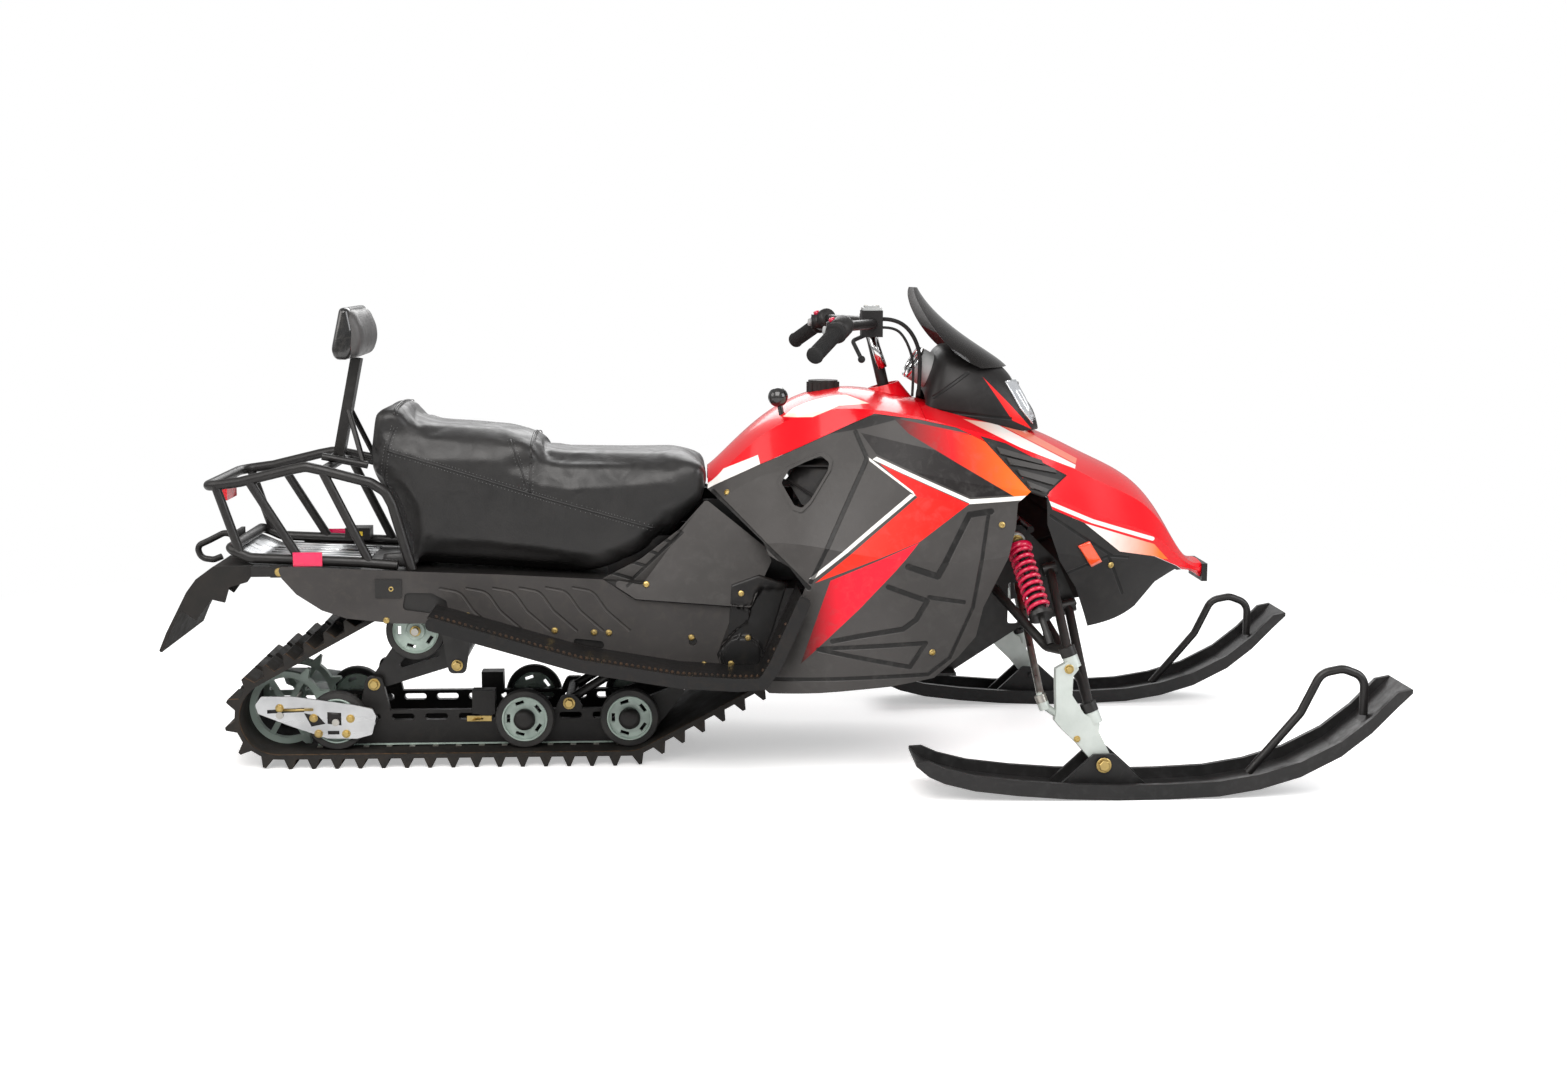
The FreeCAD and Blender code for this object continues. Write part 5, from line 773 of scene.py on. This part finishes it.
class SnowmobileSettings(bpy.types.PropertyGroup):
    """Sizes that the dressing is made with."""
    seat_half: FloatProperty(name="Seat half width", description="Half width of the seat cover",
                             default=0.151, unit="LENGTH")
    seat_edge: FloatProperty(name="Seat edge", description="Rounding of the seat's side edges",
                             default=0.026, unit="LENGTH")
    seat_crown: FloatProperty(name="Seat crown", description="Rise of the seat's top along its middle",
                              default=0.004, unit="LENGTH")
    cloth_voxel: FloatProperty(name="Cloth mesh", description="Mesh size of the padded covers",
                               default=0.006, unit="LENGTH")
    cloth_pressure: FloatProperty(name="Cloth pressure", description="Pressure that rounds the covers",
                                  default=4.0)
    cloth_frames: IntProperty(name="Cloth frames", description="Frames that the covers are rounded for",
                              default=20)
    screw_radius: FloatProperty(name="Screw radius", description="Radius of the panel screws",
                                default=0.0075, unit="LENGTH")
    grip_ribs: IntProperty(name="Grip ribs", description="Raised rings on each grip", default=16)
    show_floor: BoolProperty(name="Floor", description="Put a pale floor under the snowmobile", default=True)
    key_power: FloatProperty(name="Key light", description="Power of the largest softbox",
                             default=170.0, unit="POWER")
    backdrop_level: FloatProperty(name="Backdrop level", description="Brightness of the backdrop", default=1.0)


def settings():
    return bpy.context.scene.snowmobile_settings


def catmull(points, spacing):
    """Evenly spaced places on a smooth line through points."""
    points = [Vector(place) for place in points]
    whole = []
    for index in range(len(points) - 1):
        before, start = points[max(index - 1, 0)], points[index]
        end, after = points[index + 1], points[min(index + 2, len(points) - 1)]
        for step in range(24):
            share = step / 24
            whole.append(0.5 * (2 * start + (end - before) * share
                                + (2 * before - 5 * start + 4 * end - after) * share ** 2
                                + (3 * start - before - 3 * end + after) * share ** 3))
    whole.append(points[-1])
    found, carried = [whole[0]], 0.0
    for start, end in zip(whole, whole[1:]):
        carried += (end - start).length
        if carried >= spacing:
            found.append(end)
            carried = 0.0
    return found


class SNOWMOBILE_OT_finishes(bpy.types.Operator):
    """Give every hard part its finish"""
    bl_idname = "snowmobile.finishes"
    bl_label = "Finish the hard parts"

    def execute(self, context):
        MATERIALS.update(all_materials())
        record = {part["node"]: part["material_slot"] for part in frame["record"]["subparts"]}
        for name, node in frame["nodes"].items():
            for place in node.material_slots:
                place.material = MATERIALS[NODE_FINISHES.get(name, record[name])]
        return {"FINISHED"}


class SNOWMOBILE_OT_cables(bpy.types.Operator):
    """Hang the brake and throttle cables from the bar to the hood"""
    bl_idname = "snowmobile.cables"
    bl_label = "Hang the cables"

    def execute(self, context):
        routes = (("brake_cable", BRAKE_ROUTE, 0.0045, 0.2195),
                  ("throttle_cable", THROTTLE_ROUTE, 0.0030, 0.1935))
        for name, route, radius, length in routes:
            curve = bpy.data.curves.new(name + "_route", "CURVE")
            curve.dimensions = "3D"
            curve.resolution_u = 16
            spline = curve.splines.new("NURBS")
            spline.points.add(len(route) - 1)
            for point, place in zip(spline.points, route):
                point.co = (*place, 1.0)
            spline.order_u = 3
            spline.use_endpoint_u = True
            guide = placed(name + "_route", curve)
            context.view_layer.update()
            path = [vertex.co.copy() for vertex in plain_mesh(guide).vertices]
            bpy.data.objects.remove(guide)
            cable = mesh_object(name, *sweep(path, radius, 14))
            cable.data.materials.append(MATERIALS["grip_rubber"])
            if name == "brake_cable":
                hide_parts("control_cables")
            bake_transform(cable)
        return {"FINISHED"}


class SNOWMOBILE_OT_cushions(bpy.types.Operator):
    """Make the padded seat with its seams and the backrest cushion"""
    bl_idname = "snowmobile.cushions"
    bl_label = "Make the cushions"

    def execute(self, context):
        values = settings()
        seat = self.cushion("seat_cover", rounded(SEAT_LINE, 0.020), values.cloth_voxel, SEAT_SWELL,
                            stations_across(values.seat_half - 0.003, values.seat_edge, values.seat_crown))
        for vertex in seat.data.vertices:
            x, y, z = vertex.co
            deck = DECK_HEIGHT + DECK_SLOPE * (x - DECK_FRONT) + 0.004
            vertex.co = (x, max(-SEAT_LIMIT, min(SEAT_LIMIT, y)), max(z, deck))
        self.pad(seat, "vinyl", "seat", 0.85)
        self.seams(seat)
        cushion = self.cushion("backrest_cushion", rounded(PAD_LINE, 0.016), 0.005, PAD_SWELL,
                               stations_across(0.121, 0.024, 0.002))
        self.pad(cushion, "grey_vinyl", "backrest_pad", 0.8)
        shell = outline_solid(rounded(SHELL_LINE, 0.010), stations_across(0.1248, 0.012, 0.0))
        fit("chassis", ("backrest_shell", [shell], "gloss_black", "black_plastic"))
        return {"FINISHED"}

    def cushion(self, name, outline, voxel, cap, stations):
        """A cover in its cut form, rounded by cloth pressure."""
        values = settings()
        piece = mesh_object(name, *outline_solid(outline, stations))
        inflated(piece, voxel, values.cloth_pressure, cap, values.cloth_frames)
        return piece

    def pad(self, piece, material, node, fill):
        """Finishes a cover that stands for a CAD node."""
        smooth_shade(piece)
        finish_piece(piece, "chassis", material)
        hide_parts(node)

    def seams(self, seat):
        """Raised welts round both sides and across the step, with stitches beside them."""
        tree = BVHTree.FromPolygons([vertex.co for vertex in seat.data.vertices],
                                    [tuple(face.vertices) for face in seat.data.polygons])
        welts, stitches = [], []
        for side in SIDES:
            for seam in SEAT_SEAMS:
                path = []
                for place in catmull([(x, 0.0, z) for x, z in seam], 0.006):
                    hit, normal = on_skin(tree, place.x, place.z, side)
                    if hit is not None:
                        path.append(hit - normal * 0.0006)
                for here, there in zip(path, path[1:]):
                    for across in (-0.006, 0.006):
                        aside = Vector((-(there - here).z, 0, (there - here).x)).normalized() * across
                        hit, normal = on_skin(tree, here.x + aside.x, here.z + aside.z, side)
                        if hit is not None:
                            stitches.append((hit, normal, 0.0011))
                welts.append(sweep(path, 0.0022, 8))
        for x in (-0.503, -0.795):
            path = []
            for step in range(41):
                hit = tree.ray_cast(Vector((x, -0.140 + 0.280 * step / 40, 1.2)), -UP)[0]
                if hit is not None:
                    path.append(hit)
                    stitches.append((hit + Vector((0.007, 0, 0.0008)), UP, 0.0016))
            welts.append(sweep(path, 0.0026, 8))
        fit("chassis", ("seat_welts", welts, "vinyl", "vinyl"))
        scatter("seat_stitches", stitches, lathe(((0.9, -0.2), (1.0, 0.3), (0.7, 0.6)), sides=8), "chassis",
                "thread")


class SNOWMOBILE_OT_body_trim(bpy.types.Operator):
    """Fit louvres, vents, reflectors, the lamp's inside and the dials"""
    bl_idname = "snowmobile.body_trim"
    bl_label = "Fit the body trim"

    def execute(self, context):
        hood = node_tree_of("hood", "tank_cover", "side_panels", "nose_panel")
        skirt = node_tree_of("side_skirts", "seat_side_covers", "tunnel", "drive_axle")
        board = node_tree_of("running_boards")
        louvres, fins, reflectors, shade_backs, shade_patches, shade_sheets, strips, teeth = ([] for kind in range(8))
        for side in SIDES:
            louvres.append(skin_patch(hood, LOUVRE_FIELD, side, 0.0016, 0.003))
            fins += [skin_patch(hood, blade, side, 0.0060, 0.001, 0.005) for blade in LOUVRE_BLADES]
            reflectors.append(skin_patch(hood, FRONT_REFLECTOR, side, 0.0035, 0.002))
            shade_backs += self.vent(hood, side)
            # A dark patch of painted shade laid on the skirt
            shade_patches.append(skin_patch(skirt, RECESS_SHADE, side, 0.0010, 0.0008))
            low, high = sorted((side * 0.112, side * 0.118))
            # Dark sheets of painted shade inside the body's flanks
            shade_sheets.append(block((-0.34, low, 0.40), (-0.13, high, 0.50)))
            shade_sheets.append(block((-0.13, low, 0.40), (0.08, high, 0.58)))
            strips.append(outline_solid(BASE_STRIP, [(side * reach, inset, 0.0) for reach, inset in (
                (0.158, 0.002), (0.160, 0.0), (0.168, 0.0), (0.170, 0.002))]))
            for index in range(62):
                hit = board.ray_cast(Vector((-0.690 + 0.012 * index, side * 0.338, 0.6)), -UP)[0]
                if hit is not None:
                    teeth.append((hit - UP * 0.001, UP, 0.0042))
        fit("chassis",
            ("hood_louvre_inserts", louvres, "black_plastic", "black_plastic"),
            ("hood_louvre_fins", fins, "grey_plastic", "grey_plastic", False),
            ("front_reflectors", reflectors, "orange", "red_lens"),
            ("vent_backs", shade_backs, "recess_black", "black_plastic", False),
            ("gearcase_recess", shade_patches, "recess_black", "black_plastic"),
            ("inner_liners", shade_sheets, "recess_black", "black_plastic", False),
            ("seat_base_strips", strips, "grey_plastic", "grey_plastic", False))
        scatter("footboard_teeth", teeth, lathe(((1.0, 0.0), (0.8, 0.9), (0.3, 1.3)), sides=6), "chassis",
                "worn_edge")
        self.lamp()
        self.dials()
        return {"FINISHED"}

    def vent(self, hood, side):
        """A dark back of painted shade and three slats inside the flank's triangular opening."""
        places = [Vector(place) for place in VENT_RIM]
        middle = sum(places, Vector((0, 0))) / len(places)
        rim = []
        for place in places:
            around = middle + (place - middle) * RIM_CLEARANCE
            rim.append(Vector((place.x, on_skin(hood, around.x, around.y, side)[0].y, place.y)))
        out = Vector((0, side, 0))
        count = len(rim)
        outer = [place - out * 0.020 for place in rim]
        # The back is a dark sheet of painted shade inside the opening
        back = outer + [place - out * 0.023 for place in rim]
        slats = [sweep([outer[near] + out * 0.006, outer[far] + out * 0.006], 0.0035, 6)
                 for near, far in ((0, 6), (1, 5), (2, 4))]
        return [(back, ring_faces(2, count) + end_faces(2, count))] + slats

    def lamp(self):
        """A stepped bright bowl with its bulb behind the lens, on a tray between two wings."""
        axis = Vector((0.80, 0, -0.22)).normalized()
        cowl = node_tree_of("cowl")
        bowls, bulbs, wings = [], [], []
        for side in SIDES:
            centre = Vector((0.548, side * 0.040, 0.800))
            bowls.append(lathe(mm((6, -20), (20, -12), (30, 4), (36, 18), (38, 18), (32, 0), (22, -18)),
                               centre, axis))
            bulbs.append(lathe(mm((1, 12), (5, 8), (6, -6), (6, -14)), centre, axis, 20))
            wings.append(skin_patch(cowl, LAMP_WING, side, 0.0024, 0.001))
        tray = outline_solid(LAMP_TRAY, ((-0.096, 0.0, 0.0), (0.096, 0.0, 0.0)))
        fit("chassis",
            ("lamp_tray", [tray], "silver_plastic", "silver_plastic", False),
            ("lamp_wings", wings, "lens_silver", "silver_plastic"),
            ("lamp_bowls", bowls, "chrome", "silver_plastic"),
            ("lamp_bulbs", bulbs, "silver_plastic", "clear_lens"))

    def dials(self):
        """Bezels, faces, marks and needles of the two instruments."""
        axis, up = Vector((-0.058, 0, 0.034)).normalized(), Vector((0.034, 0, 0.058)).normalized()
        bezels, faces, marks = [], [], []
        for side in SIDES:
            centre = Vector((0.346, side * 0.034, 0.872))
            bezels.append(lathe(mm((30, 0), (30, 6), (34, 7), (37.5, 4), (37.5, 0)),
                                centre, axis, ring=True))
            faces.append(lathe(mm((30.5, 0.2), (30.5, 1.8)), centre, axis))
            turns = [math.radians(-130 + 26 * index) for index in range(11)]
            hands = [(turn, 0.0024, 0.023, 0.028, 0.0007) for turn in turns]
            for turn, lift, near, far, radius in hands + [(-1.9, 0.003, 0.0, 0.022, [0.0012, 0.0004])]:
                ray = Vector((0, 1, 0)) * math.sin(turn) + up * math.cos(turn)
                foot = centre + axis * lift
                marks.append(sweep([foot + ray * near, foot + ray * far], radius, 6))
        fit("chassis",
            ("dial_bezels", bezels, "chrome", "silver_plastic"),
            ("dial_faces", faces, "dial", "black_plastic"),
            ("dial_marks", marks, "silver_plastic", "silver_plastic"))


class SNOWMOBILE_OT_controls(bpy.types.Operator):
    """Dress the handlebar with ribs, housings, switches and caps"""
    bl_idname = "snowmobile.controls"
    bl_label = "Dress the handlebar"

    def execute(self, context):
        ribs, ends, housings, switches, caps, tubes = ([] for kind in range(6))
        count = settings().grip_ribs
        low, high = Vector((0.292, 0, 0.800)), Vector((0.247, 0, 0.948))
        for side in SIDES:
            end = Vector((0.098, side * 0.382, 0.906))
            toward = (Vector((0.164, side * 0.262, 0.962)) - end).normalized()
            ribs += [(end + toward * (0.012 + 0.096 * index / (count - 1)), toward, 0.0172)
                     for index in range(count)]
            ends.append(lathe(mm((4, -3.5), (14, -3), (17.5, 0), (18.5, 4), (16.5, 6)),
                              end, toward))
            ends.append(lathe(((0.0165, 0.108), (0.023, 0.112), (0.024, 0.116), (0.0165, 0.119)), end, toward))
            centre = end + toward * 0.142
            housings.append(lathe(mm((12.5, -21), (21, -20), (23.5, -12), (23.5, 12), (21, 20), (12.5, 21)),
                                  centre, toward, 28))
            housings.append(block(centre + Vector((-0.030, -0.016, -0.020)),
                                  centre + Vector((-0.006, 0.016, 0.012))))
            switches.append(lathe(mm((7, 0), (7, 10), (4, 12)),
                                  centre + Vector((-0.016, side * -0.004, 0.010)), (-0.4, 0, 0.9), 20))
            caps.append(lathe(mm((9, 0), (9, 7), (6, 9)),
                              centre + Vector((-0.030, side * 0.002, -0.006)), (-1, 0, 0.1), 20))
            aside = Vector((0, side * 0.024, 0))
            tubes.append(sweep([low.lerp(high, 0.42) + aside, high + aside - UP * 0.012], 0.0105, 20))
        lid = [block((0.222, -0.096, LID_TOP), (0.264, -0.048, LID_TOP + 0.006)),
               block((0.227, -0.091, LID_TOP + 0.006), (0.259, -0.053, LID_TOP + 0.010))]
        clamp = [block((0.226, -0.040, 0.944), (0.262, 0.040, 0.980))]
        fit("steering",
            ("grip_ends", ends, "grip_rubber", "grip_rubber"),
            ("switch_housings", housings, "black_plastic", "grip_rubber"),
            ("kill_switches", switches, "spring_red", "spring_red"),
            ("switch_buttons", caps, "silver_plastic", "grip_rubber"),
            ("reservoir_lid", lid, "silver_plastic", "grip_rubber", False),
            ("riser_tubes", tubes, "chrome", "black_metal"),
            ("bar_clamp", clamp, "black_plastic", "black_metal", False))
        rib = lathe(((0.94, -0.07), (1.0, -0.035), (1.0, 0.035), (0.94, 0.07)), sides=28)
        scatter("grip_ribs", ribs, rib, "steering", "grip_rubber")
        for name, ahead, aside, top, size, slot in (
                ("reservoir_screws", (0.231, 0.255), (-0.086, -0.058), LID_TOP + 0.0100, 0.0026, "grip_rubber"),
                ("clamp_bolts", (0.231, 0.257), (-0.028, 0.028), 0.980, 0.005, "black_metal")):
            heads = [(Vector((x, y, top)), UP, size) for x in ahead for y in aside]
            scatter(name, heads, socket_head(), "steering", "zinc_steel")
        return {"FINISHED"}


class SNOWMOBILE_OT_fasteners(bpy.types.Operator):
    """Put screws on the panels and bolts on the running gear"""
    bl_idname = "snowmobile.fasteners"
    bl_label = "Fit the fasteners"

    def execute(self, context):
        size = settings().screw_radius * 0.8
        skin = node_tree_of("side_panels", "seat_side_covers", "side_skirts", "drive_axle",
                            "nose_panel", "hood", "tunnel")
        screws, bolts = [], []
        for side in SIDES:
            hits = [on_skin(skin, x, z, side) for x, z in PANEL_SCREWS]
            screws += [(hit, normal, size) for hit, normal in hits if hit is not None]
            for reach, radius, places in GEAR_BOLTS:
                bolts += [(Vector((x, side * reach, z)), Vector((0, side, 0)), radius) for x, z in places]
        scatter("panel_screws", screws, socket_head(), "chassis", "gold_zinc")
        scatter("gear_bolts", bolts, hexagon_head(), "chassis", "gold_zinc")
        for name, side in RIDERS.items():
            casting, out = node_tree_of("spindle_" + name, "ski_" + name), Vector((0, side, 0))
            heads = []
            for x, z, radius in SPINDLE_BOLTS:
                hit, normal = on_skin(casting, x, z, side)
                if hit is not None and abs(normal.y) > 0.5:
                    heads.append((hit, out, radius * 0.8))
            shock = [(Vector((0.547, side * 0.2325, 0.498)), out, 0.012)]
            for kind, places, body in (("spindle_bolts_", heads, name + "_spindle"),
                                       ("shock_bolt_", shock, "chassis")):
                scatter(kind + name, places, hexagon_head(), body, "gold_zinc")
        return {"FINISHED"}


class SNOWMOBILE_OT_running_gear(bpy.types.Operator):
    """Add hub caps, track clips, wear strips, shock eyes, spring seats and ski runners"""
    bl_idname = "snowmobile.running_gear"
    bl_label = "Dress the running gear"

    def execute(self, context):
        caps, clips, wear, rings, window_shades, adjusters, stops = ([] for kind in range(7))
        plate, rails = node_tree_of("tensioner_plates"), node_tree_of("slide_rails")
        for side in SIDES:
            rail, out = side * RAIL_REACH, (0, side, 0)
            for x, z in WHEEL_PLACES[:2]:
                caps.append(lathe(mm((23.5, -4), (24, 6), (21.5, 13), (12, 17), (2, 18)),
                                  (x, side * 0.1486, z), out, 32))
            for x, z in WHEEL_PLACES[:3]:
                rings.append(lathe(mm((46, -3), (46.5, 1.2), (49.5, 1.2), (50, -3)),
                                   (x, side * 0.1490, z), out, 48, True))
            for index in range(15):
                x = -0.98 + LUG_PITCH * index
                clips.append(block((x - 0.006, rail - 0.019, 0.0318), (x + 0.006, rail + 0.019, 0.0345)))
            # The plates' openings are dark patches of painted shade
            window_shades += [skin_patch(plate, window, side, 0.0006, 0.0004, 0.01) for window in PLATE_WINDOWS]
            adjusters.append(sweep([(-1.050, side * 0.1618, 0.1255), (-0.985, side * 0.1618, 0.1262)],
                                   0.0028, 10))
            stops.append(skin_patch(rails, STOP_PLATE, side, 0.0030, 0.001, 0.01))
            wear.append(block((-0.985, rail - 0.012, 0.0350), (-0.330, rail + 0.012, 0.0378)))
        fit("chassis",
            ("hub_caps", caps, "black_plastic", "wheel_plastic"),
            ("rim_lips", rings, "mint", "wheel_plastic"),
            ("plate_windows", window_shades, "recess_black", "bright_metal"),
            ("track_adjusters", adjusters, "gold_zinc", "zinc_steel"),
            ("stop_plates", stops, "gold_zinc", "zinc_steel", False),
            ("track_clips", clips, "zinc_steel", "track_rubber", False),
            ("wear_strips", wear, "mint", "black_plastic", False))
        for name, side in RIDERS.items():
            runner = sweep([(x, side * 0.450, z + 0.002) for x, z in RUNNER_LINE], 0.0040, 10)
            fit(name + "_ski", ("ski_runner_" + name, [runner], "zinc_steel", "ski_plastic"))
            top, foot = Vector((0.547, side * 0.220, 0.498)), Vector((0.592, side * 0.362, 0.322))
            down = (foot - top).normalized()
            eye = lathe(mm((12, -13), (19, -12), (19, 12), (12, 13)), top, (0, side, 0), 30)
            collar = lathe(mm((28.5, 0), (30, 2), (30, 10), (28.5, 12)), top + down * 0.0165,
                           down, 30)
            fit("chassis", ("shock_eye_" + name, [eye], "cast_metal", "zinc_steel"),
                ("spring_seat_" + name, [collar], "spring_red", "zinc_steel"))
        return {"FINISHED"}


class SNOWMOBILE_OT_rear_trim(bpy.types.Operator):
    """Fit the rack's deck ribs, tabs and brackets and the small box"""
    bl_idname = "snowmobile.rear_trim"
    bl_label = "Fit the rear trim"

    def execute(self, context):
        ribs = [sweep([(x, -0.140 + 0.035 * index, 0.449 + RACK_SLOPE * (x + 1.1) + 0.0036)
                       for x in (-1.095, -0.885)], 0.0026, 8) for index in range(9)]
        tabs = [block((-1.060, side * 0.196 - 0.0015, 0.425), (-1.021, side * 0.196 + 0.0015, 0.452))
                for side in SIDES]
        brackets = [block((-0.836, side * 0.2035 - 0.0035, 0.381), (-0.779, side * 0.2035 + 0.0035, 0.421))
                    for side in SIDES]
        bolts = [(Vector((-1.041, side * 0.1978, 0.437)), Vector((0, side, 0)), 0.0075) for side in SIDES]
        fit("chassis",
            ("deck_ribs", ribs, "bright_metal", "bright_metal"),
            ("rack_tabs", tabs, "black_metal", "black_metal", False),
            ("rack_brackets", brackets, "black_metal", "black_metal", False),
            ("small_box", [block((-0.948, 0.096, 0.466), (-0.892, 0.150, 0.492))],
             "black_plastic", "black_plastic", False),
            ("small_box_mark", [block((-0.930, 0.0945, 0.474), (-0.908, 0.0962, 0.484))],
             "yellow", "black_plastic", False))
        scatter("rack_tab_bolts", bolts, hexagon_head(), "chassis", "gold_zinc")
        return {"FINISHED"}


class SNOWMOBILE_OT_stage(bpy.types.Operator):
    """Set the camera, the pale floor, the backdrop and the softboxes"""
    bl_idname = "snowmobile.stage"
    bl_label = "Set the stage"

    def execute(self, context):
        values = settings()
        scene = context.scene
        lens = bpy.data.cameras.new("photo_camera")
        lens.lens = 46.42
        lens.sensor_width = 36.0
        camera = placed("photo_camera", lens)
        yaw, pitch = math.radians(2.637), math.radians(8.063)
        ahead = Vector((math.sin(yaw) * math.cos(pitch), math.cos(yaw) * math.cos(pitch), -math.sin(pitch)))
        camera.location = (-0.156, -4.529, 1.114)
        camera.rotation_mode = "QUATERNION"
        camera.rotation_quaternion = ahead.to_track_quat("-Z", "Y")
        scene.camera = camera
        scene.view_settings.view_transform = "Standard"
        self.world(scene, values.backdrop_level)
        if values.show_floor:
            self.floor()
        for name, place, size, share, colour in (
                ("key", (-0.6, -3.0, 3.4), 3.2, 1.0, (1.0, 0.98, 0.96)),
                ("front", (3.4, -1.8, 2.2), 2.2, 0.45, (0.97, 0.98, 1.0)),
                ("rear", (-3.6, -1.0, 2.4), 2.4, 0.30, (1.0, 0.97, 0.94)),
                ("back", (0.2, 3.2, 3.0), 3.0, 0.60, (1.0, 1.0, 1.0))):
            light = bpy.data.lights.new(name, "AREA")
            light.shape = "SQUARE"
            light.size = size
            light.energy = values.key_power * share
            light.color = colour
            lamp = placed(name, light)
            lamp.location = place
            aim = Vector((0.0, 0.0, 0.4)) - Vector(place)
            lamp.rotation_euler = aim.to_track_quat("-Z", "Y").to_euler()
        return {"FINISHED"}

    def world(self, scene, level):
        """White where the camera, glass and gloss look, softer as a light."""
        world = bpy.data.worlds.new("backdrop")
        scene.world = world
        world.use_nodes = True
        tree = world.node_tree
        path = add(tree, "ShaderNodeLightPath").outputs
        seen = combined(tree, "MAXIMUM", (path["Is Camera Ray"], path["Is Transmission Ray"],
                                          maths(tree, "MULTIPLY", path["Is Glossy Ray"], GLOSS_LEVEL)))
        background = tree.nodes["Background"].inputs
        background["Color"].default_value = (1.0, 1.0, 1.0, 1.0)
        link(tree, maths(tree, "MULTIPLY_ADD", seen, level - AMBIENT_LEVEL, AMBIENT_LEVEL),
             background["Strength"])

    def floor(self):
        """A wide pale plane that keeps the shadows and fades to white at a distance."""
        half = 40.0
        floor = mesh_object("floor", [(-half, -half, 0), (half, -half, 0), (half, half, 0), (-half, half, 0)],
                            [(0, 1, 2, 3)], False)
        material = bpy.data.materials.new("floor_white")
        material.use_nodes = True
        tree = material.node_tree
        tree.nodes.remove(tree.nodes["Principled BSDF"])
        place = add(tree, "ShaderNodeTexCoord").outputs["Object"]
        camera_ray = add(tree, "ShaderNodeLightPath").outputs["Is Camera Ray"]
        dark, glow, white = [add(tree, "ShaderNodeEmission", {"Strength": level}).outputs[0]
                             for level in (0.0, 0.42, 1.0)]
        mottle = ramp(tree, noise(tree, place, 3.0), 0.93, 0.96)
        shade = add(tree, "ShaderNodeCombineColor", {0: mottle, 1: mottle, 2: mottle})
        matt = add(tree, "ShaderNodeBsdfDiffuse", {"Color": shade.outputs[0]})
        lit = add(tree, "ShaderNodeMixShader", {0: camera_ray, 1: dark, 2: glow})
        near = add(tree, "ShaderNodeAddShader", {0: matt.outputs[0], 1: lit.outputs[0]})
        away = ramp(tree, vector(tree, "LENGTH", place), start=1.6, end=3.2)
        whole = add(tree, "ShaderNodeMixShader", {
            0: maths(tree, "MULTIPLY", away, camera_ray), 1: near.outputs[0], 2: white})
        link(tree, whole.outputs[0], tree.nodes["Material Output"].inputs["Surface"])
        floor.data.materials.append(material)


class SNOWMOBILE_PT_panel(bpy.types.Panel):
    """Buttons in the order that they are pressed"""
    bl_idname = "SNOWMOBILE_PT_panel"
    bl_label = "Snowmobile"
    bl_space_type = "VIEW_3D"
    bl_region_type = "UI"
    bl_category = "Snowmobile"

    def draw(self, context):
        layout = self.layout
        for name in SnowmobileSettings.__annotations__:
            layout.prop(context.scene.snowmobile_settings, name)
        for operator in OPERATORS:
            layout.operator(operator.bl_idname)


MATERIALS = {}
OPERATORS = (SNOWMOBILE_OT_stage, SNOWMOBILE_OT_finishes, SNOWMOBILE_OT_cables, SNOWMOBILE_OT_cushions,
             SNOWMOBILE_OT_body_trim, SNOWMOBILE_OT_controls, SNOWMOBILE_OT_fasteners,
             SNOWMOBILE_OT_running_gear, SNOWMOBILE_OT_rear_trim)
CLASSES = (SnowmobileSettings, SNOWMOBILE_PT_panel) + OPERATORS


def register():
    for each in CLASSES:
        bpy.utils.register_class(each)
    bpy.types.Scene.snowmobile_settings = PointerProperty(type=SnowmobileSettings)


def unregister():
    del bpy.types.Scene.snowmobile_settings
    for each in reversed(CLASSES):
        bpy.utils.unregister_class(each)


def main():
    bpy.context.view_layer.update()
    register()
    for operator in OPERATORS:
        group, name = operator.bl_idname.split(".")
        getattr(getattr(bpy.ops, group), name)()


if __name__ == "__main__":
    main()
